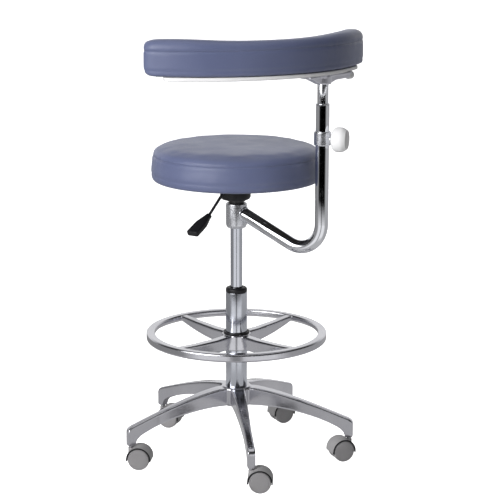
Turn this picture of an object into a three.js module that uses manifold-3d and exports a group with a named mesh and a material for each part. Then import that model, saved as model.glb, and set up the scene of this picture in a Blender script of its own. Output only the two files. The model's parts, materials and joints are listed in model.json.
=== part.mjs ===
// A dental assistant's stool: a five-leg star base on twin-wheel casters, a gas lift, a round
// upholstered seat, a height-adjustable foot ring, and a swing arm that carries a curved torso rest.
// Millimetres, +Z up. The floor is z = 0. The viewer in front of the stool looks along +Y.
// Everything is drawn about the column's axis; the whole stool is then set so that the origin
// lies under the middle of its bounding box.
import * as THREE from "three";
import { mergeVertices } from "three/addons/utils/BufferGeometryUtils.js";
import Module from "manifold-3d";

const wasm = await Module();
wasm.setup();

// ---------------------------------------------------------------- driving dimensions

const COLUMN_X = -19.5;
const COLUMN_Y = 16;

const GAP = 0.3; // between pieces that touch
const DEG = Math.PI / 180;

// Star base.
const LEG_COUNT = 5;
const FRONT_LEG_ANGLE = -83;
const STEM_CIRCLE_R = 269;
const HUB_R = 36;
const HUB_TOP_Z = 165;
const HUB_BOTTOM_Z = 119;
const LEG_ROOT_TOP_Z = 163;
const LEG_ROOT_BOTTOM_Z = 121;
const LEG_ROOT_WIDTH = 33;
const LEG_TIP_WIDTH = 18;
const LEG_TIP_TOP_Z = 98;
const LEG_TAPER_END = 200; // distance from the column at which the leg has its tip width
const BOSS_BOTTOM_Z = 53;
const BOSS_HALF = 9;
const LEG_TIP_CORNER = 12; // height of the rounded corner on top of the tip
// The leg's side view between root and tip, in (distance, z): Bezier handles and end.
const LEG_STRAIGHT_END = 55;
const LEG_UNDERSIDE = [120, 119, 190, 102, 236, 80];
const LEG_CROOK_Z = 70; // where the underside turns down into the boss
const LEG_TOP = [190, 128, 110, 155, 45, LEG_ROOT_TOP_Z];

// Casters.
const WHEEL_R = 25;
const WHEEL_WIDTH = 14.6;
const WHEEL_SPACE = 14.6; // between the two wheels
const WHEEL_BORE_R = 4.4;
const WHEEL_BORE_DEPTH = 11.4;
const STUB_R = 4;
const STUB_LENGTH = 17.6;
const CASTER_TRAIL = 20;
const HOOD_INNER_R = 26.7;
const HOOD_OUTER_R = 28.5;
const HOOD_BOSS_TOP_Z = 49.5;
const HOOD_OVERHANG = 8; // degrees that the cover goes on below the axle's level
const WEB_FOOT = 9; // half the width of the web below the axle
const STEM_R = 5.5;
const STEM_PIN_R = 4;
const STEM_BOTTOM_Z = 30;
const STEM_SHOULDER_Z = 50;
const STEM_BORE_DEPTH = 40;
// The way each wheel pair trails its stem, from the front leg's caster onwards.
const CASTER_ANGLES = [-3, 200, 205, -20, -7];

// Column and gas lift.
const TUBE_R = 25;
const TUBE_INNER_R = 23;
const TUBE_BOTTOM_Z = 121;
const TUBE_TOP_Z = 391.7;
const TUBE_FLOOR = 4;
const BUSH_TOP_Z = 403;
const BUSH_BOTTOM_Z = 352;
const CYLINDER_R = 14;
const CYLINDER_INNER_R = 12.5;
const CYLINDER_BOTTOM_Z = 276;
const CYLINDER_TOP_Z = 640;
const CYLINDER_CEILING_Z = 626;
const TAPER_START_Z = 592;
const TAPER_TOP_R = 13.3;
const ROD_R = 5;
const ROD_NECK_R = 4;
const ROD_HOLE_R = 6.5; // in the column's floor
const ROD_BOTTOM_Z = 114;
const ROD_TOP_Z = 380;
const PISTON_Z = 364;
const PISTON_HEIGHT = 12;

// Foot ring.
const RING_R = 211;
const RING_WIDTH = 20;
const RING_TOP_Z = 298;
const RING_OUTER_BOTTOM_Z = 278;
const RING_INNER_BOTTOM_Z = 287;
const RING_HUB_R = 34;
const RING_HUB_BOTTOM_Z = 255;
const RING_HUB_TOP_Z = 293;
const SPOKE_ANGLES = [48.5, 131.5, 228.5, 311.5];
const SPOKE_ROOT_WIDTH = 30;
const SPOKE_TIP_WIDTH = 22;
const SPOKE_FOOT_WIDTH = 14; // along the underside
// Distances at which the spoke's underside starts to rise, bends most, and its top starts to rise.
const SPOKE_RISE_START = 70;
const SPOKE_RISE_BEND = 125;
const SPOKE_TOP_LOW = 75;
const SPOKE_TOP_RISE = 140;
const COLLET_R = 28;
const COLLET_FLANGE_R = 30.5;

// Seat and its mechanism.
const SEAT_R = 197.5;
const SEAT_TOP_Z = 736.5;
const SEAT_BOTTOM_Z = 659;
const SEAT_EDGE = 15;
const SEAT_LOWER_EDGE = 18;
const SEAT_CROWN = 2; // how much lower the seat's edge is than its middle
const SEAT_FLAT_R = 150;
const SEAT_POCKET_R = 172.5;
const BOARD_R = 168;
const BOARD_THICKNESS = 12;
const PLATE_SIZE = 150;
const PLATE_THICKNESS = 4;
const PLATE_TOP_Z = 659.7;
const PLATE_HOLE_R = 16;
const SCREW_PITCH = 120;
const SCREW_R = 3;
const SCREW_HOLE_R = 3.4;
const SCREW_HEAD_R = 5.5;
const SCREW_HEAD_HEIGHT = 4;
const HOUSING_R = 35.5;
const HOUSING_OFFSET_X = -2.3;
const HOUSING_WALL = 3;
const HOUSING_BOTTOM_Z = 611;
const SOCKET_R = 21;
const SPIGOT_R = 17;
const SPIGOT_BOTTOM_Z = 547;

// Release lever.
const LEVER_ANGLE = -125;
const LEVER_R = 3.25;
const LEVER_Z = 650;
const LEVER_PIVOT_S = 24;
const PIVOT_PIN_R = 1.5;
const PIVOT_HOLE_R = 1.8;
const EAR_OFFSET = 7;
const EAR_THICKNESS = 3;
// The lever rod's corners, as distance from the column and height.
const LEVER_CORNERS = [
  [-4, 650],
  [32, 650],
  [40, 647],
  [54, 632],
  [112, 587],
];
const PADDLE_WIDTH = 29;
const PADDLE_LENGTH = 73;
const PADDLE_THICKNESS = 13;
const PADDLE_CORNER = 9;
// Half the paddle's width where it starts and at two distances along it, before its full width.
const PADDLE_NECK = [[0, 6], [12, 8], [34, PADDLE_WIDTH / 2]];
const PADDLE_SLOPE = 26;
const PADDLE_START = 107;
const PADDLE_START_Z = 590;

// Swing arm.
const POST_X = 190;
const POST_Y = -125;
const POST_DISTANCE = Math.hypot(POST_X, POST_Y);
const ARM_ANGLE = Math.atan2(POST_Y, POST_X) / DEG;
const ARM_TUBE_R = 15.2;
const ARM_TUBE_INNER_R = 13.7;
const ARM_SLOPE = 23.5;
const ARM_BEND_R = 58;
const ARM_LOW_Z = 519;
const ARM_TOP_Z = 845;
const ARM_BORE_BOTTOM_Z = 592;
const COLLAR_R = 24.5;
const COLLAR_INNER_R = 20.5;
const COLLAR_BOTTOM_Z = 545;
const COLLAR_TOP_Z = 602;
const CLAMP_R = 19;
const CLAMP_BOTTOM_Z = 756;
const CLAMP_TOP_Z = 787;
const KNOB_Z = 770;
const KNOB_ANGLE = -18;
const KNOB_R = 28;
const KNOB_STUD_R = 4;
const KNOB_HOLE_R = 4.4;
const KNOB_LENGTH = 38;
const KNOB_STANDOFF = 2;
const GUIDE_BOTTOM_Z = 824;
const GUIDE_FLANGE_TOP_Z = 849;
const BUSH_SLEEVE_BOTTOM_Z = 552.5;
const BUSH_SLEEVE_TOP_Z = 601;

// Torso rest and its post.
const POST_R = 12.35;
const POST_INNER_R = 10.5;
const POST_BOTTOM_Z = 682;
const POST_TOP_Z = 906;
const REST_CENTRE_X = -78;
const REST_CENTRE_Y = 101;
const REST_OUTER_R = 380;
const REST_THICKNESS = 60;
const REST_LEFT_ANGLE = -109.5;
const REST_RIGHT_ANGLE = -11;
const REST_BOTTOM_Z = 922;
const REST_TOP_Z = 1000;
const REST_EDGE = 14;
const CORE_HALF_WIDTH = 18;
const CORE_THICKNESS = 12;
const CORE_INSET = 5; // degrees short of the cushion at each end
const TRAY_HALF_WIDTH = 23;
const TRAY_INSET = 7.2;
const TRAY_BOTTOM_Z = 913;
const BRACKET_HUB_R = 19;
const BRACKET_BOTTOM_Z = 892;
const BRACKET_LEFT = 64;
const BRACKET_RIGHT = 88;
const BRACKET_WIDTH = 34;
const BRACKET_PLATE = 5;
const BRACKET_RIB = 18;
const REST_KNOB_R = 9;
const REST_KNOB_Z = 903;
const REST_KNOB_LENGTH = 19;

// Facets of round shapes. Pieces that turn in each other about the column share one number.
const RING_FACETS = 40;
const WIDE = 36;
const ROUND = 24;
const SLIM = 20;
const SMALL = 10;

// ---------------------------------------------------------------- materials

function finish(color, roughness, metalness) {
  return () => new THREE.MeshStandardMaterial({ color, roughness, metalness });
}

const castAluminium = finish(0xbfc0c4, 0.25, 1);
const chrome = finish(0xd5d8de, 0.1, 1);
const steel = finish(0x8d9096, 0.4, 1);
const blackSteel = finish(0x101014, 0.45, 0.5);
const blackPlastic = finish(0x131317, 0.5, 0);
const greyPlastic = finish(0x8f8f92, 0.55, 0);
const paleNylon = finish(0xd9d8d2, 0.5, 0);
const whitePlastic = finish(0xeeeef0, 0.3, 0);
const paleMetal = finish(0xc9cad3, 0.35, 0.4);
const rubber = finish(0x1a1a1a, 0.9, 0);
const plywood = finish(0x1f1c19, 0.7, 0); // stained black
const vinyl = finish(0x6f7593, 0.5, 0);

// ---------------------------------------------------------------- solids

// A closed three.js geometry as a solid, with its faces turned outwards.
function solid(geometry) {
  const open = geometry.index ? geometry.toNonIndexed() : geometry.clone();
  open.deleteAttribute("normal");
  open.deleteAttribute("uv");
  const merged = mergeVertices(open, 1e-4);
  const triVerts = new Uint32Array(merged.index.array);
  const vertProperties = new Float32Array(merged.attributes.position.array);
  const made = new wasm.Manifold(new wasm.Mesh({ numProp: 3, vertProperties, triVerts }));
  if (made.volume() > 0) return made;
  for (let i = 0; i < triVerts.length; i += 3) {
    const first = triVerts[i];
    triVerts[i] = triVerts[i + 1];
    triVerts[i + 1] = first;
  }
  return new wasm.Manifold(new wasm.Mesh({ numProp: 3, vertProperties, triVerts }));
}

function join(...parts) {
  return parts.reduce((whole, part) => whole.add(part));
}

function cut(whole, ...tools) {
  return tools.reduce((rest, tool) => rest.subtract(tool), whole);
}

// The solid as a flat-shaded mesh in a group.
function piece(group, name, made, material) {
  const { vertProperties, triVerts } = made.getMesh();
  const indexed = new THREE.BufferGeometry();
  indexed.setAttribute("position", new THREE.BufferAttribute(new Float32Array(vertProperties), 3));
  indexed.setIndex(new THREE.BufferAttribute(new Uint32Array(triVerts), 1));
  const geometry = indexed.toNonIndexed();
  geometry.computeVertexNormals();
  const mesh = new THREE.Mesh(geometry, material());
  mesh.name = name;
  group.add(mesh);
  return mesh;
}

// A profile of [radius, z] points turned about the Z axis. A profile that doesn't start and end
// on the axis closes on itself.
function turned(profile, facets) {
  const points = profile.map(([r, z]) => new THREE.Vector2(r, z));
  const onAxis = profile[0][0] === 0 && profile[profile.length - 1][0] === 0;
  if (!onAxis) points.push(points[0].clone());
  return solid(new THREE.LatheGeometry(points, facets).rotateX(Math.PI / 2));
}

function sleeve(innerR, outerR, bottomZ, topZ, facets) {
  return turned([[innerR, bottomZ], [outerR, bottomZ], [outerR, topZ], [innerR, topZ]], facets);
}

function rod(r, bottomZ, topZ, facets) {
  return turned([[0, bottomZ], [r, bottomZ], [r, topZ], [0, topZ]], facets);
}

// A cylinder along a level line that starts at distance `from` and ends at distance `to` from
// the Z axis, in the direction of `angle`, at height z.
function levelRod(r, from, to, angle, z, facets) {
  const geometry = new THREE.CylinderGeometry(r, r, to - from, facets);
  geometry.rotateZ(-Math.PI / 2).translate((from + to) / 2, 0, z).rotateZ(angle * DEG);
  return solid(geometry);
}

// An outline in plan, raised from one height to another.
function raised(shape, bottomZ, topZ, curveSegments = 12) {
  const options = { depth: topZ - bottomZ, bevelEnabled: false, curveSegments };
  return solid(new THREE.ExtrudeGeometry(shape, options).translate(0, 0, bottomZ));
}

// A side view in (distance, z), given a thickness across and turned to an angle in plan. The
// thickness at each point of the outline comes from widthAt(distance, z).
function upright(shape, widthAt, angle, curveSegments) {
  const options = { depth: 1, bevelEnabled: false, curveSegments };
  const geometry = new THREE.ExtrudeGeometry(shape, options);
  geometry.translate(0, 0, -0.5).rotateX(Math.PI / 2);
  const position = geometry.attributes.position;
  for (let i = 0; i < position.count; i += 1) {
    const across = widthAt(position.getX(i), position.getZ(i));
    position.setY(i, position.getY(i) * across);
  }
  return solid(geometry.rotateZ(angle * DEG));
}

function roundedRectangle(width, depth, radius) {
  const x = width / 2;
  const y = depth / 2;
  const shape = new THREE.Shape();
  shape.moveTo(-x + radius, -y);
  shape.absarc(x - radius, -y + radius, radius, -Math.PI / 2, 0);
  shape.absarc(x - radius, y - radius, radius, 0, Math.PI / 2);
  shape.absarc(-x + radius, y - radius, radius, Math.PI / 2, Math.PI);
  shape.absarc(-x + radius, -y + radius, radius, Math.PI, 1.5 * Math.PI);
  return shape;
}

function circleHole(x, y, r) {
  return new THREE.Path().absarc(x, y, r, 0, 2 * Math.PI, true);
}

// An open ring that snaps into a groove.
function snapRing(innerR, outerR, bottomZ, topZ) {
  const halfMouth = 20 * DEG;
  const shape = new THREE.Shape();
  shape.absarc(0, 0, outerR, halfMouth, 2 * Math.PI - halfMouth, false);
  shape.absarc(0, 0, innerR, 2 * Math.PI - halfMouth, halfMouth, true);
  shape.closePath();
  return raised(shape, bottomZ, topZ, 8);
}

// A line through corner points, with one step from each corner to the next. The section of a tube
// along it is mitred at each corner.
class CornerLine extends THREE.Curve {
  constructor(points) {
    super();
    this.points = points;
    this.steps = points.length - 1;
  }

  getPoint(t, target = new THREE.Vector3()) {
    const index = Math.min(Math.floor(t * this.steps + 1e-6), this.steps - 1);
    return target.lerpVectors(this.points[index], this.points[index + 1], t * this.steps - index);
  }

  getUtoTmapping(u) {
    return u;
  }

  getTangent(t, target = new THREE.Vector3()) {
    const corner = Math.round(t * this.steps);
    const before = this.points[Math.max(corner - 1, 0)];
    const here = this.points[corner];
    const after = this.points[Math.min(corner + 1, this.steps)];
    const arriving = here.clone().sub(before).normalize();
    return target.copy(after).sub(here).normalize().add(arriving).normalize();
  }
}

// A line in a vertical plane at an angle in plan, through [distance, z] corners.
function levelPath(corners, angle) {
  const cos = Math.cos(angle * DEG);
  const sin = Math.sin(angle * DEG);
  return new CornerLine(corners.map(([s, z]) => new THREE.Vector3(s * cos, s * sin, z)));
}

function tubeAlong(path, r, facets) {
  const section = new THREE.Shape(new THREE.EllipseCurve(0, 0, r, r).getPoints(facets).slice(0, -1));
  return solid(new THREE.ExtrudeGeometry(section, { extrudePath: path, steps: path.steps }));
}

// ---------------------------------------------------------------- star base

function legOutline() {
  const tip = STEM_CIRCLE_R + BOSS_HALF;
  const shape = new THREE.Shape();
  shape.moveTo(0, LEG_ROOT_BOTTOM_Z);
  shape.lineTo(LEG_STRAIGHT_END, LEG_ROOT_BOTTOM_Z);
  shape.bezierCurveTo(...LEG_UNDERSIDE);
  shape.quadraticCurveTo(tip - 2 * BOSS_HALF, LEG_CROOK_Z, tip - 2 * BOSS_HALF, BOSS_BOTTOM_Z);
  shape.lineTo(tip, BOSS_BOTTOM_Z);
  shape.lineTo(tip, LEG_TIP_TOP_Z - LEG_TIP_CORNER);
  shape.quadraticCurveTo(tip, LEG_TIP_TOP_Z, tip - 20, LEG_TIP_TOP_Z + 5);
  shape.bezierCurveTo(...LEG_TOP);
  shape.lineTo(0, LEG_ROOT_TOP_Z);
  shape.closePath();
  return shape;
}

function legWidth(distance) {
  const along = THREE.MathUtils.clamp((distance - HUB_R) / (LEG_TAPER_END - HUB_R), 0, 1);
  return THREE.MathUtils.lerp(LEG_ROOT_WIDTH, LEG_TIP_WIDTH, along);
}

function legAngle(index) {
  return FRONT_LEG_ANGLE + (index * 360) / LEG_COUNT;
}

function stemPlace(index) {
  const angle = legAngle(index) * DEG;
  return [STEM_CIRCLE_R * Math.cos(angle), STEM_CIRCLE_R * Math.sin(angle)];
}

function starBase() {
  const hub = turned(
    [
      [0, HUB_BOTTOM_Z],
      [HUB_R - 5, HUB_BOTTOM_Z],
      [HUB_R, LEG_ROOT_BOTTOM_Z],
      [HUB_R, HUB_TOP_Z - 8],
      [HUB_R - 4, HUB_TOP_Z],
      [0, HUB_TOP_Z],
    ],
    ROUND,
  );
  let base = hub;
  for (let i = 0; i < LEG_COUNT; i += 1) {
    base = base.add(upright(legOutline(), legWidth, legAngle(i), 4));
  }
  base = base.subtract(rod(TUBE_R + GAP, HUB_BOTTOM_Z - 5, HUB_TOP_Z + 5, ROUND));
  for (let i = 0; i < LEG_COUNT; i += 1) {
    const [x, y] = stemPlace(i);
    const bore = rod(STEM_R + GAP, BOSS_BOTTOM_Z - 2, BOSS_BOTTOM_Z + STEM_BORE_DEPTH, SMALL);
    base = base.subtract(bore.translate([x, y, 0]));
  }
  return base;
}

// ---------------------------------------------------------------- casters

function casterStem() {
  const top = BOSS_BOTTOM_Z + STEM_BORE_DEPTH - 1;
  return turned(
    [
      [0, STEM_BOTTOM_Z],
      [STEM_PIN_R, STEM_BOTTOM_Z],
      [STEM_PIN_R, STEM_SHOULDER_Z],
      [STEM_R, STEM_SHOULDER_Z],
      [STEM_R, top - 2],
      [STEM_R - 1.5, top],
      [0, top],
    ],
    SMALL,
  );
}

// The hood in its own frame: the stem stands at x = 0, and the axle runs along Y at x = CASTER_TRAIL.
function casterHood() {
  const width = WHEEL_SPACE + 2 * WHEEL_WIDTH;
  const coverStart = -HOOD_OVERHANG * DEG;
  const coverEnd = (180 + HOOD_OVERHANG) * DEG;
  const cover = new THREE.Shape();
  cover.absarc(CASTER_TRAIL, WHEEL_R, HOOD_OUTER_R, coverStart, coverEnd, false);
  cover.absarc(CASTER_TRAIL, WHEEL_R, HOOD_INNER_R, coverEnd, coverStart, true);
  cover.closePath();
  const web = new THREE.Shape();
  web.absarc(CASTER_TRAIL, WHEEL_R, HOOD_INNER_R + 0.5, 0, Math.PI, false);
  web.lineTo(CASTER_TRAIL - WEB_FOOT, WHEEL_R - WEB_FOOT);
  web.lineTo(CASTER_TRAIL + WEB_FOOT, WHEEL_R - WEB_FOOT);
  web.closePath();
  const webWidth = WHEEL_SPACE - 2 * GAP;
  const boss = rod(webWidth / 2, WHEEL_R - 2, HOOD_BOSS_TOP_Z, SMALL);
  const bore = rod(STEM_PIN_R + GAP, STEM_BOTTOM_Z - 1, HOOD_BOSS_TOP_Z + 5, SMALL);
  const stub = new THREE.CylinderGeometry(STUB_R, STUB_R, 2 * STUB_LENGTH, SMALL);
  const across = (shape, wide, segments) => upright(shape, () => wide, 0, segments);
  return cut(
    join(
      across(cover, width, 5),
      across(web, webWidth, 5),
      boss,
      solid(stub.translate(CASTER_TRAIL, 0, WHEEL_R)),
    ),
    bore,
  );
}

// One wheel of a pair, turned about Y; side is 1 for the wheel at +Y of the hood and -1 at -Y.
function casterWheel(side) {
  const inner = WHEEL_SPACE / 2;
  const outer = inner + WHEEL_WIDTH;
  const profile = [
    [0, inner + WHEEL_BORE_DEPTH],
    [WHEEL_BORE_R, inner + WHEEL_BORE_DEPTH],
    [WHEEL_BORE_R, inner],
    [WHEEL_R, inner],
    [WHEEL_R, outer - 2],
    [WHEEL_R - 2, outer],
    [0, outer],
  ];
  const points = profile.map(([r, y]) => new THREE.Vector2(r, side * y));
  const geometry = new THREE.LatheGeometry(points, SLIM);
  return solid(geometry.translate(CASTER_TRAIL, 0, WHEEL_R));
}

// ---------------------------------------------------------------- column and gas lift

function columnTube() {
  return turned(
    [
      [ROD_HOLE_R, TUBE_BOTTOM_Z],
      [TUBE_R, TUBE_BOTTOM_Z],
      [TUBE_R, TUBE_TOP_Z],
      [TUBE_INNER_R, TUBE_TOP_Z],
      [TUBE_INNER_R, TUBE_BOTTOM_Z + TUBE_FLOOR],
      [ROD_HOLE_R, TUBE_BOTTOM_Z + TUBE_FLOOR],
    ],
    ROUND,
  );
}

function columnBush() {
  const shoulder = TUBE_TOP_Z + GAP;
  return turned(
    [
      [CYLINDER_R + GAP, BUSH_BOTTOM_Z],
      [TUBE_INNER_R - GAP, BUSH_BOTTOM_Z],
      [TUBE_INNER_R - GAP, shoulder],
      [TUBE_R, shoulder],
      [TUBE_R, BUSH_TOP_Z - 3],
      [TUBE_R - 3, BUSH_TOP_Z],
      [CYLINDER_R + GAP, BUSH_TOP_Z],
    ],
    ROUND,
  );
}

function pistonRod() {
  const neckTop = TUBE_BOTTOM_Z - 0.5;
  return turned(
    [
      [0, ROD_BOTTOM_Z],
      [ROD_R, ROD_BOTTOM_Z],
      [ROD_R, neckTop - 3],
      [ROD_NECK_R, neckTop - 3],
      [ROD_NECK_R, neckTop],
      [ROD_R, neckTop],
      [ROD_R, ROD_TOP_Z],
      [0, ROD_TOP_Z],
    ],
    SMALL,
  );
}

// The domed pin on top of the gas lift that opens its valve when the lever presses it.
function valveButton() {
  const top = LEVER_Z - LEVER_R - GAP;
  const bottom = CYLINDER_CEILING_Z + 4;
  return turned([[0, bottom], [4, bottom], [4, top - 1.5], [2.5, top], [0, top]], SMALL);
}

function gasCylinder() {
  const buttonHoleR = 4.3;
  return turned(
    [
      [CYLINDER_INNER_R, CYLINDER_BOTTOM_Z],
      [CYLINDER_R, CYLINDER_BOTTOM_Z],
      [CYLINDER_R, TAPER_START_Z],
      [TAPER_TOP_R, CYLINDER_TOP_Z],
      [buttonHoleR, CYLINDER_TOP_Z],
      [buttonHoleR, CYLINDER_CEILING_Z],
      [CYLINDER_INNER_R, CYLINDER_CEILING_Z],
    ],
    ROUND,
  );
}

// The seat mechanism's welded socket: the lift's taper sits in it, and the arm turns on its spigot.
function taperSocket() {
  const grooveTop = SPIGOT_BOTTOM_Z + 4.5;
  const grooveBottom = SPIGOT_BOTTOM_Z + 2;
  const shoulder = HOUSING_BOTTOM_Z - 4;
  return turned(
    [
      [CYLINDER_R + GAP, SPIGOT_BOTTOM_Z],
      [SPIGOT_R, SPIGOT_BOTTOM_Z],
      [SPIGOT_R, grooveBottom],
      [SPIGOT_R - 1, grooveBottom],
      [SPIGOT_R - 1, grooveTop],
      [SPIGOT_R, grooveTop],
      [SPIGOT_R, shoulder],
      [SOCKET_R, shoulder],
      [SOCKET_R, CYLINDER_TOP_Z],
      [TAPER_TOP_R + GAP, CYLINDER_TOP_Z],
      [CYLINDER_R + GAP, TAPER_START_Z],
    ],
    ROUND,
  );
}

// ---------------------------------------------------------------- foot ring

function spokeOutline() {
  const end = RING_R - RING_WIDTH / 2;
  const shape = new THREE.Shape();
  shape.moveTo(0, RING_HUB_BOTTOM_Z + 1);
  shape.lineTo(SPOKE_RISE_START, RING_HUB_BOTTOM_Z + 3);
  shape.quadraticCurveTo(SPOKE_RISE_BEND, RING_HUB_BOTTOM_Z + 6, end, RING_INNER_BOTTOM_Z - 2);
  shape.lineTo(end, RING_TOP_Z - 1);
  shape.lineTo(SPOKE_TOP_RISE, RING_HUB_TOP_Z);
  shape.lineTo(SPOKE_TOP_LOW, RING_HUB_TOP_Z - 2.5);
  shape.lineTo(0, RING_HUB_TOP_Z - 1);
  shape.closePath();
  return shape;
}

// Wide on top and narrow underneath.
function spokeWidth(distance, z) {
  if (z < RING_HUB_TOP_Z - 6) return SPOKE_FOOT_WIDTH;
  return THREE.MathUtils.lerp(SPOKE_ROOT_WIDTH, SPOKE_TIP_WIDTH, distance / RING_R);
}

function footRing() {
  const inner = RING_R - RING_WIDTH;
  const edge = 3;
  const band = turned(
    [
      [inner, RING_INNER_BOTTOM_Z],
      [RING_R - 2 * edge, RING_OUTER_BOTTOM_Z],
      [RING_R, RING_OUTER_BOTTOM_Z + edge],
      [RING_R, RING_TOP_Z - edge],
      [RING_R - edge, RING_TOP_Z],
      [inner + edge, RING_TOP_Z],
      [inner, RING_TOP_Z - edge],
    ],
    RING_FACETS,
  );
  let ring = band.add(rod(RING_HUB_R, RING_HUB_BOTTOM_Z, RING_HUB_TOP_Z, ROUND));
  for (const angle of SPOKE_ANGLES) {
    ring = ring.add(upright(spokeOutline(), spokeWidth, angle, 3));
  }
  return ring.subtract(rod(COLLET_R + GAP, RING_HUB_BOTTOM_Z - 5, RING_HUB_TOP_Z + 5, ROUND));
}

function footRingCollet() {
  const shoulder = RING_HUB_TOP_Z + GAP;
  return turned(
    [
      [TUBE_R + GAP, RING_HUB_BOTTOM_Z + 4],
      [COLLET_R, RING_HUB_BOTTOM_Z + 4],
      [COLLET_R, shoulder],
      [COLLET_FLANGE_R, shoulder],
      [COLLET_FLANGE_R, shoulder + 4],
      [TUBE_R + GAP, shoulder + 4],
    ],
    ROUND,
  );
}

// ---------------------------------------------------------------- seat

// An upholstered pad: foam and cover as one solid, with a pocket underneath for its board.
function seatCushion() {
  const pocketTop = SEAT_BOTTOM_Z + BOARD_THICKNESS + 2;
  const edgeTop = SEAT_TOP_Z - SEAT_CROWN;
  const rim = new THREE.Path();
  rim.moveTo(SEAT_POCKET_R, SEAT_BOTTOM_Z);
  rim.lineTo(SEAT_R - SEAT_LOWER_EDGE, SEAT_BOTTOM_Z);
  rim.quadraticCurveTo(SEAT_R, SEAT_BOTTOM_Z, SEAT_R, SEAT_BOTTOM_Z + SEAT_LOWER_EDGE);
  rim.lineTo(SEAT_R, edgeTop - SEAT_EDGE);
  rim.quadraticCurveTo(SEAT_R, edgeTop, SEAT_R - SEAT_EDGE, edgeTop);
  const outline = rim.getPoints(3).map(({ x, y }) => [x, y]);
  return turned(
    [
      [0, pocketTop],
      [SEAT_POCKET_R, pocketTop],
      ...outline,
      [SEAT_FLAT_R, SEAT_TOP_Z],
      [0, SEAT_TOP_Z],
    ],
    WIDE,
  );
}

const screwPlaces = [-1, 1].flatMap((x) =>
  [-1, 1].map((y) => [(x * SCREW_PITCH) / 2, (y * SCREW_PITCH) / 2]),
);

function seatBoard() {
  const shape = new THREE.Shape().absarc(0, 0, BOARD_R, 0, 2 * Math.PI);
  for (const [x, y] of screwPlaces) shape.holes.push(circleHole(x, y, SCREW_HOLE_R));
  return raised(shape, PLATE_TOP_Z + GAP, PLATE_TOP_Z + GAP + BOARD_THICKNESS, 8);
}

// A pan-head screw standing on its head at z = 0.
function screw(length) {
  return turned(
    [
      [0, 0],
      [SCREW_HEAD_R - 1, 0],
      [SCREW_HEAD_R, 1],
      [SCREW_HEAD_R, SCREW_HEAD_HEIGHT],
      [SCREW_R, SCREW_HEAD_HEIGHT],
      [SCREW_R, length],
      [0, length],
    ],
    SMALL,
  );
}

// The steel plate under the seat, with two ears that hold the lever's pivot pin.
function mechanismPlate() {
  const bottom = PLATE_TOP_Z - PLATE_THICKNESS;
  const shape = roundedRectangle(PLATE_SIZE, PLATE_SIZE, 14);
  shape.holes.push(circleHole(0, 0, PLATE_HOLE_R));
  for (const [x, y] of screwPlaces) shape.holes.push(circleHole(x, y, SCREW_HOLE_R));
  const plate = raised(shape, bottom, PLATE_TOP_Z, 4);
  const earBottom = LEVER_Z - 5;
  const ear = (side) => {
    const box = new THREE.BoxGeometry(10, EAR_THICKNESS, bottom + 1 - earBottom);
    box.translate(LEVER_PIVOT_S, side * EAR_OFFSET, (bottom + 1 + earBottom) / 2);
    return solid(box.rotateZ(LEVER_ANGLE * DEG));
  };
  return cut(join(plate, ear(-1), ear(1)), pivotBar(PIVOT_HOLE_R, EAR_OFFSET + EAR_THICKNESS));
}

// A bar across the lever at its pivot.
function pivotBar(r, halfLength) {
  const bar = new THREE.CylinderGeometry(r, r, 2 * halfLength, SMALL);
  return solid(bar.translate(LEVER_PIVOT_S, 0, LEVER_Z).rotateZ(LEVER_ANGLE * DEG));
}

// The round cup under the plate, with a slot for the lever.
function mechanismHousing() {
  const top = PLATE_TOP_Z - PLATE_THICKNESS - GAP;
  const edge = 5;
  const inside = HOUSING_R - HOUSING_WALL;
  const cup = turned(
    [
      [0, HOUSING_BOTTOM_Z],
      [HOUSING_R - edge, HOUSING_BOTTOM_Z],
      [HOUSING_R - edge / 4, HOUSING_BOTTOM_Z + edge / 2],
      [HOUSING_R, HOUSING_BOTTOM_Z + edge],
      [HOUSING_R, top],
      [inside, top],
      [inside, HOUSING_BOTTOM_Z + HOUSING_WALL + 2],
      [inside - 2, HOUSING_BOTTOM_Z + HOUSING_WALL],
      [0, HOUSING_BOTTOM_Z + HOUSING_WALL],
    ],
    ROUND,
  );
  const bore = rod(SOCKET_R + GAP, HOUSING_BOTTOM_Z - 5, HOUSING_BOTTOM_Z + 10, ROUND);
  const slotHeight = 18;
  const slot = new THREE.BoxGeometry(40, 2 * LEVER_R + 4, slotHeight);
  slot.translate(50, 0, top + 1 - slotHeight / 2).rotateZ(LEVER_ANGLE * DEG);
  return cut(cup.translate([HOUSING_OFFSET_X, 0, 0]), bore, solid(slot));
}

// ---------------------------------------------------------------- release lever

function leverRod() {
  const path = levelPath(LEVER_CORNERS, LEVER_ANGLE);
  return tubeAlong(path, LEVER_R, 8).subtract(pivotBar(PIVOT_HOLE_R, 10));
}

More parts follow.
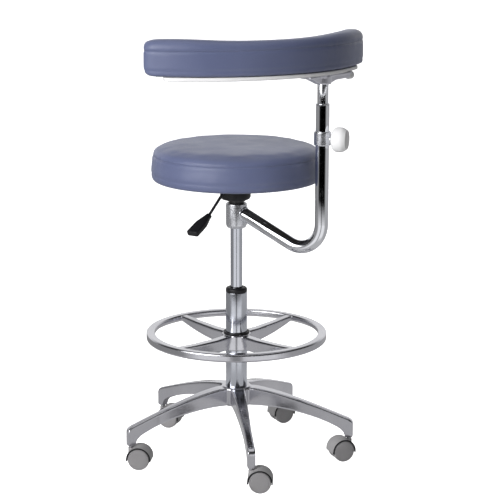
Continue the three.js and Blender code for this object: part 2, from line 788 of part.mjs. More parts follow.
// The flat plastic grip on the lever's end, wider at its tip.
function leverPaddle() {
  const half = PADDLE_WIDTH / 2;
  const shape = new THREE.Shape(PADDLE_NECK.map(([s, y]) => new THREE.Vector2(s, -y)));
  shape.lineTo(PADDLE_LENGTH - PADDLE_CORNER, -half);
  shape.quadraticCurveTo(PADDLE_LENGTH, -half, PADDLE_LENGTH, -half + PADDLE_CORNER);
  shape.lineTo(PADDLE_LENGTH, half - PADDLE_CORNER);
  shape.quadraticCurveTo(PADDLE_LENGTH, half, PADDLE_LENGTH - PADDLE_CORNER, half);
  for (const [s, y] of PADDLE_NECK.slice().reverse()) shape.lineTo(s, y);
  const edge = 2;
  const depth = PADDLE_THICKNESS - 2 * edge;
  const bevel = { bevelSize: edge, bevelThickness: edge, bevelOffset: -edge, bevelSegments: 1 };
  const geometry = new THREE.ExtrudeGeometry(shape, { depth, ...bevel, curveSegments: 3 });
  geometry.translate(0, 0, -depth / 2).rotateY(PADDLE_SLOPE * DEG);
  geometry.translate(PADDLE_START, 0, PADDLE_START_Z).rotateZ(LEVER_ANGLE * DEG);
  // The rod's socket goes on a little past the rod's end.
  const [[bendS, bendZ], [endS, endZ]] = LEVER_CORNERS.slice(-2);
  const past = 1.07;
  const socketEnd = [bendS + past * (endS - bendS), bendZ + past * (endZ - bendZ)];
  const path = levelPath([[bendS, bendZ], socketEnd], LEVER_ANGLE);
  return solid(geometry).subtract(tubeAlong(path, LEVER_R + GAP, 8));
}

// ---------------------------------------------------------------- swing arm

function armCollar() {
  return turned(
    [
      [COLLAR_INNER_R, COLLAR_BOTTOM_Z],
      [COLLAR_R - 3, COLLAR_BOTTOM_Z],
      [COLLAR_R, COLLAR_BOTTOM_Z + 6],
      [COLLAR_R, COLLAR_TOP_Z - 1.5],
      [COLLAR_R - 1.5, COLLAR_TOP_Z],
      [COLLAR_INNER_R, COLLAR_TOP_Z],
    ],
    ROUND,
  );
}

// The nylon bush that the arm turns on, and the ring that holds the collar up on the spigot.
function armBush() {
  const outerR = COLLAR_INNER_R - GAP;
  return sleeve(SPIGOT_R + GAP, outerR, BUSH_SLEEVE_BOTTOM_Z, BUSH_SLEEVE_TOP_Z, ROUND);
}

function armSnapRing() {
  const bottom = SPIGOT_BOTTOM_Z + 2.4;
  return snapRing(SPIGOT_R - 1 + GAP, COLLAR_INNER_R - 0.9, bottom, bottom + 1.8);
}

// The tube's centre line: down and out from the collar, round the bend and up the post.
function armPath() {
  const bendS = POST_DISTANCE - ARM_BEND_R;
  const bendZ = ARM_LOW_Z + ARM_BEND_R;
  const points = [];
  const turns = 8;
  for (let i = 0; i <= turns; i += 1) {
    const angle = THREE.MathUtils.lerp(-90 - ARM_SLOPE, 0, i / turns) * DEG;
    points.push([bendS + ARM_BEND_R * Math.cos(angle), bendZ + ARM_BEND_R * Math.sin(angle)]);
  }
  const [lowS, lowZ] = points[0];
  const start = [COLLAR_R - 6, lowZ + (lowS - COLLAR_R + 6) * Math.tan(ARM_SLOPE * DEG)];
  return levelPath([start, ...points, [POST_DISTANCE, ARM_TOP_Z]], ARM_ANGLE);
}

function knobBore() {
  return levelRod(KNOB_HOLE_R, 5, 40, KNOB_ANGLE, KNOB_Z, SMALL).translate([POST_X, POST_Y, 0]);
}

function armTube() {
  const collarSpace = rod(COLLAR_R + GAP, COLLAR_BOTTOM_Z - 40, COLLAR_TOP_Z + 40, ROUND);
  const bore = rod(ARM_TUBE_INNER_R, ARM_BORE_BOTTOM_Z, ARM_TOP_Z + 5, ROUND);
  return cut(
    tubeAlong(armPath(), ARM_TUBE_R, 14),
    collarSpace,
    bore.translate([POST_X, POST_Y, 0]),
    knobBore(),
  );
}

function postGuide() {
  const shoulder = ARM_TOP_Z + GAP;
  const sleeveR = ARM_TUBE_INNER_R - GAP;
  return turned(
    [
      [POST_R + GAP, GUIDE_BOTTOM_Z],
      [sleeveR, GUIDE_BOTTOM_Z],
      [sleeveR, shoulder],
      [ARM_TUBE_R, shoulder],
      [ARM_TUBE_R, GUIDE_FLANGE_TOP_Z],
      [POST_R + GAP, GUIDE_FLANGE_TOP_Z],
    ],
    SLIM,
  ).translate([POST_X, POST_Y, 0]);
}

function clampCollar() {
  const bossEnd = CLAMP_R + KNOB_STANDOFF;
  const body = rod(CLAMP_R, CLAMP_BOTTOM_Z, CLAMP_TOP_Z, ROUND);
  const boss = levelRod(9, 10, bossEnd, KNOB_ANGLE, KNOB_Z, SMALL);
  const bore = rod(ARM_TUBE_R + GAP, CLAMP_BOTTOM_Z - 5, CLAMP_TOP_Z + 5, ROUND);
  return cut(join(body, boss), bore).translate([POST_X, POST_Y, 0]).subtract(knobBore());
}

// The clamp knob and its moulded-in stud, turned about the knob's own level axis.
function clampKnob() {
  const neck = CLAMP_R + KNOB_STANDOFF + GAP;
  const end = neck + KNOB_LENGTH;
  const profile = [
    [0, POST_R + 0.5],
    [KNOB_STUD_R, POST_R + 0.5],
    [KNOB_STUD_R, neck],
    [10, neck],
    [KNOB_R - 6, neck + 3],
    [KNOB_R - 1.5, neck + 9],
    [KNOB_R, neck + 18],
    [KNOB_R - 1, neck + 26],
    [KNOB_R - 8, end - 4],
    [KNOB_R - 16, end - 1],
    [0, end],
  ];
  const points = profile.map(([r, along]) => new THREE.Vector2(r, along));
  const geometry = new THREE.LatheGeometry(points, SLIM).rotateZ(-Math.PI / 2);
  return solid(geometry.rotateZ(KNOB_ANGLE * DEG).translate(POST_X, POST_Y, KNOB_Z));
}

// ---------------------------------------------------------------- torso rest

// An arc-shaped band in plan about the rest's centre of curvature, between two radii and angles.
function arcBand(innerR, outerR, fromAngle, toAngle) {
  const shape = new THREE.Shape();
  shape.absarc(REST_CENTRE_X, REST_CENTRE_Y, outerR, fromAngle * DEG, toAngle * DEG, false);
  shape.absarc(REST_CENTRE_X, REST_CENTRE_Y, innerR, toAngle * DEG, fromAngle * DEG, true);
  shape.closePath();
  return shape;
}

const REST_MIDDLE_R = REST_OUTER_R - REST_THICKNESS / 2;
const REST_TANGENT = Math.atan2(POST_Y - REST_CENTRE_Y, POST_X - REST_CENTRE_X) / DEG + 90;
const REST_SCREW_PLACES = [-45, 45];

// A point beside the post, measured along the rest's own curve at the post.
function alongRest(distance) {
  const angle = REST_TANGENT - 90 + distance / REST_MIDDLE_R / DEG;
  const x = REST_CENTRE_X + REST_MIDDLE_R * Math.cos(angle * DEG);
  const y = REST_CENTRE_Y + REST_MIDDLE_R * Math.sin(angle * DEG);
  return [x, y];
}

function restCushion() {
  const shape = arcBand(
    REST_OUTER_R - REST_THICKNESS,
    REST_OUTER_R,
    REST_LEFT_ANGLE,
    REST_RIGHT_ANGLE,
  );
  const geometry = new THREE.ExtrudeGeometry(shape, {
    depth: REST_TOP_Z - REST_BOTTOM_Z - 2 * REST_EDGE,
    bevelThickness: REST_EDGE,
    bevelSize: REST_EDGE,
    bevelOffset: -REST_EDGE,
    bevelSegments: 2,
    curveSegments: 9,
  });
  const pocketGap = 0.6;
  const pocket = arcBand(
    REST_MIDDLE_R - CORE_HALF_WIDTH - pocketGap,
    REST_MIDDLE_R + CORE_HALF_WIDTH + pocketGap,
    REST_LEFT_ANGLE + CORE_INSET - 0.5,
    REST_RIGHT_ANGLE - CORE_INSET + 0.5,
  );
  const pocketTop = REST_BOTTOM_Z + CORE_THICKNESS + 1.5;
  return solid(geometry.translate(0, 0, REST_BOTTOM_Z + REST_EDGE)).subtract(
    raised(pocket, REST_BOTTOM_Z - 5, pocketTop, 9),
  );
}

function restStrip(halfWidth, inset, bottomZ, topZ) {
  const shape = arcBand(
    REST_MIDDLE_R - halfWidth,
    REST_MIDDLE_R + halfWidth,
    REST_LEFT_ANGLE + inset,
    REST_RIGHT_ANGLE - inset,
  );
  for (const distance of REST_SCREW_PLACES) {
    shape.holes.push(circleHole(...alongRest(distance), SCREW_HOLE_R));
  }
  return raised(shape, bottomZ, topZ, 9);
}

// The bracket under the rest: a hub on the post, a plate under the tray and ribs out to both ends.
function restBracket() {
  const plateTop = TRAY_BOTTOM_Z - GAP;
  const plateBottom = plateTop - BRACKET_PLATE;
  const plate = roundedRectangle(BRACKET_LEFT + BRACKET_RIGHT, BRACKET_WIDTH, 12);
  const rib = new THREE.Shape();
  rib.moveTo(-BRACKET_LEFT + 8, plateBottom + 1);
  rib.lineTo(-BRACKET_HUB_R, BRACKET_BOTTOM_Z + 1);
  rib.lineTo(BRACKET_HUB_R, BRACKET_BOTTOM_Z + 1);
  rib.lineTo(BRACKET_HUB_R + 20, BRACKET_BOTTOM_Z + 6);
  rib.lineTo(BRACKET_RIGHT, BRACKET_BOTTOM_Z + 7);
  rib.lineTo(BRACKET_RIGHT, plateBottom + 1);
  rib.closePath();
  const middle = (BRACKET_RIGHT - BRACKET_LEFT) / 2;
  const body = join(
    raised(plate, plateBottom, plateTop, 4).translate([middle, 0, 0]),
    rod(BRACKET_HUB_R, BRACKET_BOTTOM_Z, plateBottom + 1, ROUND),
    upright(rib, () => BRACKET_RIB, 0, 1),
  );
  const bore = rod(POST_R + GAP, BRACKET_BOTTOM_Z - 5, POST_TOP_Z + GAP, SLIM);
  const knobHole = levelRod(3.4, BRACKET_RIGHT - 22, BRACKET_RIGHT + 5, 0, REST_KNOB_Z, SMALL);
  const placed = cut(body, bore, knobHole).rotate([0, 0, REST_TANGENT]).translate([POST_X, POST_Y, 0]);
  return cut(placed, ...REST_SCREW_PLACES.map((distance) => restScrewSpace(distance)));
}

// The way in for a rest screw: its head's recess and its clearance hole.
function restScrewSpace(distance) {
  const [x, y] = alongRest(distance);
  const headTop = TRAY_BOTTOM_Z - GAP - 3;
  const recess = rod(SCREW_HEAD_R + 0.6, BRACKET_BOTTOM_Z - 5, headTop, SMALL);
  const hole = rod(SCREW_HOLE_R, headTop - 1, TRAY_BOTTOM_Z + 5, SMALL);
  return join(recess, hole).translate([x, y, 0]);
}

function restKnob() {
  const face = BRACKET_RIGHT + GAP;
  const profile = [
    [0, BRACKET_RIGHT - 20],
    [3, BRACKET_RIGHT - 20],
    [3, face],
    [REST_KNOB_R - 1, face],
    [REST_KNOB_R, face + 2],
    [REST_KNOB_R, face + REST_KNOB_LENGTH - 3],
    [REST_KNOB_R - 3, face + REST_KNOB_LENGTH],
    [0, face + REST_KNOB_LENGTH],
  ];
  const points = profile.map(([r, along]) => new THREE.Vector2(r, along));
  const geometry = new THREE.LatheGeometry(points, SMALL).rotateZ(-Math.PI / 2);
  return solid(geometry.rotateZ(REST_TANGENT * DEG).translate(POST_X, POST_Y, REST_KNOB_Z));
}

// ---------------------------------------------------------------- the stool

const stool = new THREE.Group();
stool.position.set(COLUMN_X, COLUMN_Y, 0);

piece(stool, "star_base", starBase(), castAluminium);
piece(stool, "column_tube", columnTube(), chrome);
piece(stool, "column_bush", columnBush(), blackPlastic);

for (let i = 0; i < LEG_COUNT; i += 1) {
  const [x, y] = stemPlace(i);
  const caster = new THREE.Group();
  caster.position.set(x, y, 0);
  caster.rotation.z = CASTER_ANGLES[i] * DEG;
  stool.add(caster);
  const number = i + 1;
  piece(caster, `caster_stem_${number}`, casterStem(), steel);
  piece(caster, `caster_hood_${number}`, casterHood(), greyPlastic);
  piece(caster, `caster_wheel_${number}a`, casterWheel(-1), greyPlastic);
  piece(caster, `caster_wheel_${number}b`, casterWheel(1), greyPlastic);
}

const neckZ = TUBE_BOTTOM_Z - 3.2;
const bearingZ = TUBE_BOTTOM_Z + TUBE_FLOOR + GAP;
piece(stool, "piston_rod", pistonRod(), steel);
piece(stool, "rod_clip", snapRing(ROD_NECK_R + GAP, 9, neckZ, neckZ + 2.4), steel);
piece(stool, "thrust_bearing", sleeve(ROD_R + GAP, 16, bearingZ, bearingZ + 8, SLIM), steel);
const bufferZ = bearingZ + 8 + GAP;
piece(stool, "rubber_buffer", sleeve(ROD_R + GAP, 14, bufferZ, bufferZ + 10, SLIM), rubber);
piece(
  stool,
  "rod_piston",
  sleeve(ROD_R + GAP, CYLINDER_INNER_R - GAP, PISTON_Z, PISTON_Z + PISTON_HEIGHT, SLIM),
  steel,
);

piece(stool, "gas_cylinder", gasCylinder(), chrome);
piece(
  stool,
  "rod_guide",
  sleeve(ROD_R + GAP, CYLINDER_INNER_R - GAP, CYLINDER_BOTTOM_Z + 2, CYLINDER_BOTTOM_Z + 18, SLIM),
  blackPlastic,
);
piece(stool, "taper_socket", taperSocket(), blackSteel);
piece(stool, "mechanism_housing", mechanismHousing(), blackPlastic);
piece(stool, "mechanism_plate", mechanismPlate(), blackSteel);
piece(stool, "lever_pin", pivotBar(PIVOT_PIN_R, EAR_OFFSET + EAR_THICKNESS - 1), steel);
piece(stool, "seat_board", seatBoard(), plywood);
piece(stool, "seat_cushion", seatCushion(), vinyl);
screwPlaces.forEach(([x, y], i) => {
  const headZ = PLATE_TOP_Z - PLATE_THICKNESS - GAP - SCREW_HEAD_HEIGHT;
  piece(stool, `seat_screw_${i + 1}`, screw(18).translate([x, y, headZ]), steel);
});

piece(stool, "valve_button", valveButton(), steel);
piece(stool, "lever_rod", leverRod(), blackSteel);
piece(stool, "lever_paddle", leverPaddle(), blackPlastic);

piece(stool, "arm_collar", armCollar(), chrome);
piece(stool, "arm_bush", armBush(), paleNylon);
piece(stool, "arm_snap_ring", armSnapRing(), steel);
piece(stool, "arm_tube", armTube(), chrome);
piece(stool, "post_guide", postGuide(), chrome);
piece(stool, "clamp_collar", clampCollar(), chrome);
piece(stool, "clamp_knob", clampKnob(), whitePlastic);

const postTube = sleeve(POST_INNER_R, POST_R, POST_BOTTOM_Z, POST_TOP_Z, SLIM);
piece(stool, "post_tube", postTube.translate([POST_X, POST_Y, 0]), chrome);

const coreBottom = REST_BOTTOM_Z + 0.5;
piece(stool, "rest_bracket", restBracket(), paleMetal);
piece(
  stool,
  "rest_tray",
  restStrip(TRAY_HALF_WIDTH, TRAY_INSET, TRAY_BOTTOM_Z, REST_BOTTOM_Z - GAP),
  whitePlastic,
);
piece(
  stool,
  "rest_core",
  restStrip(CORE_HALF_WIDTH, CORE_INSET, coreBottom, coreBottom + CORE_THICKNESS),
  plywood,
);
piece(stool, "rest_cushion", restCushion(), vinyl);
REST_SCREW_PLACES.forEach((distance, i) => {
  const [x, y] = alongRest(distance);
  const headZ = TRAY_BOTTOM_Z - GAP - 3 - GAP - SCREW_HEAD_HEIGHT;
  piece(stool, `rest_screw_${i + 1}`, screw(26).translate([x, y, headZ]), steel);
});
piece(stool, "rest_knob", restKnob(), whitePlastic);

piece(stool, "foot_ring", footRing(), castAluminium);
piece(stool, "foot_ring_collet", footRingCollet(), blackPlastic);

const assembly = new THREE.Group();
assembly.add(stool);

export default assembly;
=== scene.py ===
"""The looks of the dental assistant's stool: fine surfaces, upholstery, finishes, light and camera.

Lengths are metres in the row frame, and MM turns millimetres into them. Most places are read from
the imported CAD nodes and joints, and the profiles add their own measures to these.
"""

import json
import math

import bmesh
import bpy
import numpy as np
from mathutils import Matrix, Vector, noise


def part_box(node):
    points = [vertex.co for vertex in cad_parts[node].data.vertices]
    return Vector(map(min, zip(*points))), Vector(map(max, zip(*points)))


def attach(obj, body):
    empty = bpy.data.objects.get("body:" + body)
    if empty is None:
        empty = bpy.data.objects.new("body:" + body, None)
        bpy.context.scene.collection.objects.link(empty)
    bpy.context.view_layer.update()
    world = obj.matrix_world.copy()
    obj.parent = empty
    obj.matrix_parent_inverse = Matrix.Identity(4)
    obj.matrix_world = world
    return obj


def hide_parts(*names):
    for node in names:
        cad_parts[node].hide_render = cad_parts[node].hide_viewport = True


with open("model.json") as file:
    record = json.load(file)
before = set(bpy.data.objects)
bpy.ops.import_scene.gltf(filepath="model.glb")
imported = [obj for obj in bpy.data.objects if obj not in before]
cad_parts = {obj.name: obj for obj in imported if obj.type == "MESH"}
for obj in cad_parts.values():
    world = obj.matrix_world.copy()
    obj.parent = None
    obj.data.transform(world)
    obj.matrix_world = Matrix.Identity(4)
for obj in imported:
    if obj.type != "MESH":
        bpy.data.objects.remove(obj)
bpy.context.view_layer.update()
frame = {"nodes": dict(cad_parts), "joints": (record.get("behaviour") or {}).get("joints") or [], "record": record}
JOINTS = {joint["name"]: joint for joint in frame["joints"]}
MM = 0.001

# ---- places taken from the CAD


def middle(node):
    low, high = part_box(node)
    return (low + high) / 2


def radius(node):
    """Half the width of a round upright node."""
    low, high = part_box(node)
    return (high.x - low.x) / 2


def heights(node):
    low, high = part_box(node)
    return low.z, high.z


def upright_at(node):
    """The place of a round upright node's axis, at floor level."""
    centre = middle(node)
    return Matrix.Translation((centre.x, centre.y, 0))


def along(origin, direction):
    """A frame whose Z runs from origin along a direction."""
    turn = Vector(direction).to_track_quat("Z", "Y").to_matrix().to_4x4()
    return Matrix.Translation(origin) @ turn


def turned_to(origin, direction):
    """An upright frame whose X points from origin in a level direction."""
    angle = math.atan2(direction.y, direction.x)
    return Matrix.Translation(origin) @ Matrix.Rotation(angle, 4, "Z")


COLUMN = middle("column_tube").xy
POST = middle("post_tube").xy
COLUMN_PLACE = upright_at("column_tube")
POST_PLACE = upright_at("post_tube")

# ---- finishes


class Nodes:
    """A node tree in the making."""

    def __init__(self, tree):
        self.tree = tree

    def add(self, kind, settings=None, **inputs):
        node = self.tree.nodes.new(kind)
        for name, value in (settings or {}).items():
            setattr(node, name, value)
        for name, value in inputs.items():
            self.put(node.inputs[name.replace("_", " ")], value)
        return node

    def put(self, socket, value):
        if isinstance(value, bpy.types.NodeSocket):
            self.tree.links.new(value, socket)
        else:
            socket.default_value = value

    def spread(self, value, low, high, start=0.3, end=0.7, kind="LINEAR"):
        """A value from start to end, brought to the range from low to high."""
        node = self.add("ShaderNodeMapRange", {"interpolation_type": kind}, Value=value)
        limits = (("From Min", start), ("From Max", end), ("To Min", low), ("To Max", high))
        for name, limit in limits:
            node.inputs[name].default_value = limit
        return node.outputs["Result"]

    def maths(self, operation, first, second=0.0):
        node = self.add("ShaderNodeMath", {"operation": operation})
        self.put(node.inputs[0], first)
        self.put(node.inputs[1], second)
        return node.outputs[0]

    def vectors(self, operation, first, second=(0, 0, 0)):
        node = self.add("ShaderNodeVectorMath", {"operation": operation})
        self.put(node.inputs[0], first)
        self.put(node.inputs[1], second)
        return node.outputs

    def parts(self, vector):
        return self.add("ShaderNodeSeparateXYZ", Vector=vector).outputs


class Look(Nodes):
    """A material in the making, with textures fixed to the object's own coordinates."""

    def __init__(self, name, **constants):
        self.material = bpy.data.materials.new(name)
        self.material.use_nodes = True
        super().__init__(self.material.node_tree)
        self.shader = self.tree.nodes["Principled BSDF"]
        for socket, value in constants.items():
            self.shader.inputs[socket.replace("_", " ")].default_value = value
        self.place = self.add("ShaderNodeTexCoord").outputs["Object"]

    def stretched(self, scale):
        return self.add("ShaderNodeMapping", Vector=self.place, Scale=scale).outputs[0]

    def noise(self, scale, detail=3, vector=None):
        vector = self.place if vector is None else vector
        node = self.add("ShaderNodeTexNoise", Vector=vector, Scale=scale, Detail=detail)
        return node.outputs["Fac"]

    def colours(self, value, dark, light):
        node = self.add("ShaderNodeValToRGB", Fac=value)
        for element, position, colour in zip(node.color_ramp.elements, (0.3, 0.7), (dark, light)):
            element.position = position
            element.color = (*colour, 1)
        self.put(self.shader.inputs["Base Color"], node.outputs["Color"])

    def rough(self, value):
        self.put(self.shader.inputs["Roughness"], value)

    def bumps(self, *layers):
        """Layers of (height value, depth in metres) laid over each other."""
        normal = None
        for value, depth in layers:
            node = self.add("ShaderNodeBump", Height=value, Strength=1.0, Distance=depth)
            if normal is not None:
                self.put(node.inputs["Normal"], normal)
            normal = node.outputs["Normal"]
        self.put(self.shader.inputs["Normal"], normal)


def metal(name, dark, light, smooth, worn, waviness=0.02 * MM, brushed=None):
    """Bare or plated metal: slightly uneven, with soft wipe marks and hairline scratches."""
    look = Look(name, Metallic=1.0)
    look.colours(look.noise(9, 4), dark, light)
    marks = look.noise(35, 6)
    hairlines = look.noise(60, 4, look.stretched(brushed or (1, 1, 14)))
    mixed = look.maths("MULTIPLY", marks, look.spread(hairlines, 0.8, 1.15))
    look.rough(look.spread(mixed, smooth, worn))
    look.bumps((look.noise(14, 2), waviness), (hairlines, 0.002 * MM))
    return look.material


def plastic(name, dark, light, smooth, worn, grain, depth, **constants):
    """Moulded plastic or paint with a fine grain."""
    look = Look(name, **constants)
    look.colours(look.noise(22, 5), dark, light)
    look.rough(look.spread(look.noise(50, 5), smooth, worn))
    look.bumps((look.noise(grain, 2), depth), (look.noise(30, 3), 2 * depth))
    return look.material


def upholstery(name, seam_z):
    """Coated fabric with a pebbled leather grain and a stitched seam at one height."""
    look = Look(
        name, Specular_IOR_Level=0.5, Sheen_Weight=0.04, Sheen_Roughness=0.45, Coat_Weight=0.05,
        Coat_Roughness=0.35,
    )
    look.colours(look.noise(7, 5), (0.084, 0.099, 0.18), (0.098, 0.114, 0.2))
    look.rough(look.spread(look.noise(18, 5), 0.34, 0.44))
    drift = look.add("ShaderNodeTexNoise", Vector=look.place, Scale=420.0).outputs["Color"]
    shift = look.add("ShaderNodeVectorMath", {"operation": "SCALE"}, Scale=1.2 * MM)
    look.put(shift.inputs[0], drift)
    warped = look.vectors("ADD", look.place, shift.outputs[0])[0]
    edges = {"feature": "DISTANCE_TO_EDGE"}
    cells = look.add("ShaderNodeTexVoronoi", edges, Vector=warped, Scale=620)
    pebbles = look.spread(cells.outputs["Distance"], 0, 1, 0, 0.18)
    height = look.parts(look.place)["Z"]
    away = look.maths("ABSOLUTE", look.maths("SUBTRACT", height, seam_z))
    groove = look.spread(away, 0, 1, 0, 1.3 * MM)
    look.bumps(
        (look.noise(60, 4), 0.35 * MM), (groove, 0.7 * MM), (pebbles, 0.05 * MM),
        (look.noise(2400, 2), 0.02 * MM),
    )
    return look.material


def wood(name):
    """Plywood with a black stain that leaves the grain in sight."""
    look = Look(name, Specular_IOR_Level=0.3)
    grain = look.noise(40, 8, look.stretched((1, 14, 14)))
    look.colours(grain, (0.012, 0.011, 0.01), (0.024, 0.021, 0.019))
    look.rough(look.spread(grain, 0.6, 0.8))
    look.bumps((grain, 0.1 * MM), (look.noise(300, 3), 0.03 * MM))
    return look.material


seat_low, seat_high = heights("seat_cushion")
rest_low, rest_high = heights("rest_cushion")
SEAT_SEAM_Z = seat_high - 21 * MM
REST_SEAM_Z = rest_high - 23 * MM

LOOKS = {
    "chrome": metal("chrome_plate", (0.74, 0.75, 0.79), (0.8, 0.81, 0.85), 0.035, 0.075, 0.01 * MM),
    "satin_chrome": metal("satin_chrome_plate", (0.58, 0.6, 0.66), (0.66, 0.68, 0.74), 0.1, 0.17),
    "cast_aluminium": metal(
        "polished_cast_aluminium", (0.54, 0.54, 0.58), (0.63, 0.63, 0.67), 0.12, 0.22,
        waviness=0.1 * MM, brushed=(3, 3, 5),
    ),
    "rough_chrome": metal(
        "rough_chrome_plate", (0.6, 0.61, 0.65), (0.72, 0.73, 0.77), 0.18, 0.34, waviness=0.5 * MM,
    ),
    "steel": metal("turned_steel", (0.42, 0.43, 0.45), (0.55, 0.56, 0.58), 0.3, 0.45),
    "pale_metal": metal("satin_alloy", (0.62, 0.62, 0.68), (0.7, 0.7, 0.76), 0.3, 0.42, 0.05 * MM),
    "black_steel": plastic(
        "black_enamel", (0.012, 0.012, 0.014), (0.02, 0.02, 0.023), 0.28, 0.42, 700, 0.02 * MM,
        Coat_Weight=0.2, Coat_Roughness=0.25,
    ),
    "black_plastic": plastic(
        "black_plastic", (0.005, 0.005, 0.006), (0.01, 0.01, 0.012), 0.36, 0.5, 1500, 0.03 * MM,
        Specular_IOR_Level=0.35,
    ),
    "grey_plastic": plastic(
        "grey_plastic", (0.18, 0.175, 0.18), (0.215, 0.21, 0.215), 0.45, 0.6, 1300, 0.03 * MM,
    ),
    "dark_grey_plastic": plastic(
        "dark_grey_plastic", (0.22, 0.215, 0.22), (0.26, 0.255, 0.26), 0.42, 0.56, 1300, 0.03 * MM,
    ),
    "nylon": plastic("nylon", (0.62, 0.61, 0.56), (0.7, 0.69, 0.64), 0.4, 0.55, 900, 0.02 * MM),
    "white_plastic": plastic(
        "white_plastic", (0.66, 0.66, 0.665), (0.7, 0.7, 0.705), 0.42, 0.55, 700, 0.01 * MM,
        Specular_IOR_Level=0.3,
    ),
    "rubber": plastic(
        "rubber", (0.012, 0.012, 0.012), (0.022, 0.022, 0.022), 0.65, 0.85, 900, 0.05 * MM,
    ),
    "plywood": wood("birch_plywood"),
    "upholstery": upholstery("seat_upholstery", SEAT_SEAM_Z),
    "rest_upholstery": upholstery("rest_upholstery", REST_SEAM_Z),
}


def dress(obj, look):
    obj.data.materials.clear()
    obj.data.materials.append(LOOKS[look])
    return obj


# ---- surfaces


def linked(name, data):
    """A new object in the scene."""
    obj = bpy.data.objects.new(name, data)
    bpy.context.scene.collection.objects.link(obj)
    return obj


def build(name, vertices, faces, place=None, crease=35):
    """A mesh object from points and faces, moved to its place, smooth except at sharp edges."""
    mesh = bpy.data.meshes.new(name)
    mesh.from_pydata([tuple(v) for v in vertices], [], faces)
    if place is not None:
        mesh.transform(place)
    work = bmesh.new()
    work.from_mesh(mesh)
    bmesh.ops.remove_doubles(work, verts=work.verts, dist=1e-6)
    bmesh.ops.recalc_face_normals(work, faces=work.faces)
    work.to_mesh(mesh)
    work.free()
    soften(mesh, crease)
    return linked(name, mesh)


def soften(mesh, crease=35):
    mesh.polygons.foreach_set("use_smooth", [True] * len(mesh.polygons))
    mesh.set_sharp_from_angle(angle=math.radians(crease))
    mesh.update()


def corner(start, tip, end, steps):
    """Points of a soft corner that starts and ends at two points and bends towards its tip."""
    made = []
    for k in range(steps + 1):
        t = k / steps
        made.append(start * (1 - t) ** 2 + tip * 2 * t * (1 - t) + end * t * t)
    return made


def rounded(profile, default=0.6 * MM, steps=4, closed=True):
    """A profile of (r, z) or (r, z, edge radius) points with its corners rounded."""
    made = []
    count = len(profile)
    for i, point in enumerate(profile):
        here = Vector(point[:2])
        edge = point[2] if len(point) > 2 else default
        ends = not closed and i in (0, count - 1)
        before = Vector(profile[i - 1][:2]) - here
        after = Vector(profile[(i + 1) % count][:2]) - here
        edge = min(edge, before.length * 0.49, after.length * 0.49)
        if ends or edge < 1e-6:
            made.append(here)
            continue
        start = here + before.normalized() * edge
        end = here + after.normalized() * edge
        made += corner(start, here, end, steps)
    return [(p.x, p.y) for p in made]


def turned(name, profile, place, segments=96, edge=0.6 * MM, turn=(0, 360), crease=35):
    """A profile turned about the place's Z axis. It ends on the axis or closes on itself."""
    solid = abs(profile[0][0]) < 1e-9 and abs(profile[-1][0]) < 1e-9
    outline = rounded(profile, edge, closed=not solid)
    full = turn == (0, 360)
    count = segments if full else segments + 1
    start, end = (math.radians(a) for a in turn)
    vertices = []
    for i in range(count):
        angle = start + (end - start) * i / segments
        vertices += [(r * math.cos(angle), r * math.sin(angle), z) for r, z in outline]
    size = len(outline)
    spans = size - 1 if solid else size
    faces = []
    for i in range(segments):
        a, b = i * size, ((i + 1) % count) * size
        for j in range(spans):
            k = (j + 1) % size
            faces.append((a + j, b + j, b + k, a + k))
    if not full:
        faces += [tuple(range(size)), tuple(range((count - 1) * size, count * size))]
    return build(name, vertices, faces, place, crease)


def tube(name, node, wall, top=0.6 * MM):
    """A round upright tube in the place of a CAD node."""
    low, high = heights(node)
    outer = radius(node)
    inner = outer - wall
    profile = [(inner, low), (outer, low), (outer, high, top), (inner, high)]
    return turned(name, profile, upright_at(node))


def loft(name, rings, crease=35, place=None):
    """Closed rings of points joined one to the next, with both ends capped."""
    size = len(rings[0])
    vertices = [point for ring in rings for point in ring]
    faces = []
    for i in range(len(rings) - 1):
        a, b = i * size, (i + 1) * size
        faces += [(a + j, a + (j + 1) % size, b + (j + 1) % size, b + j) for j in range(size)]
    faces += [tuple(range(size)), tuple(range((len(rings) - 1) * size, len(rings) * size))]
    return build(name, vertices, faces, place, crease)


def rounded_box_ring(width, height, edge, steps=5):
    """Points round a rectangle with rounded corners, as (across, up)."""
    edge = min(edge, width * 0.49, height * 0.49)
    ring = []
    for quarter, (sx, sz) in enumerate([(1, 1), (-1, 1), (-1, -1), (1, -1)]):
        for k in range(steps + 1):
            angle = math.radians(90 * (quarter + k / steps))
            x = sx * (width / 2 - edge) + edge * math.cos(angle)
            z = sz * (height / 2 - edge) + edge * math.sin(angle)
            ring.append((x, z))
    return ring


def swept(name, path, r, segments, closed=False):
    """A round bar along a path of points."""
    points = [Vector(p) for p in path]
    count = len(points)
    rings = []
    side = None
    for i, point in enumerate(points):
        if closed:
            heading = points[(i + 1) % count] - points[i - 1]
        else:
            heading = points[min(i + 1, count - 1)] - points[max(i - 1, 0)]
        heading.normalize()
        if side is None:
            side = heading.orthogonal().normalized()
        side = (side - heading * side.dot(heading)).normalized()
        other = heading.cross(side)
        ring = []
        for k in range(segments):
            angle = 2 * math.pi * k / segments
            ring.append(point + side * r * math.cos(angle) + other * r * math.sin(angle))
        rings.append(ring)
    if not closed:
        return loft(name, rings)
    vertices = [point for ring in rings for point in ring]
    faces = []
    for i in range(count):
        a, b = i * segments, ((i + 1) % count) * segments
        for j in range(segments):
            k = (j + 1) % segments
            faces.append((a + j, a + k, b + k, b + j))
    return build(name, vertices, faces)


def baked(obj):
    """The object with its modifiers applied."""
    evaluated = obj.evaluated_get(bpy.context.evaluated_depsgraph_get())
    mesh = bpy.data.meshes.new_from_object(evaluated)
    obj.modifiers.clear()
    old, obj.data = obj.data, mesh
    bpy.data.meshes.remove(old)
    return obj


def smoothed(obj, times):
    smooth = obj.modifiers.new("soft", "SMOOTH")
    smooth.factor = 0.5
    smooth.iterations = times


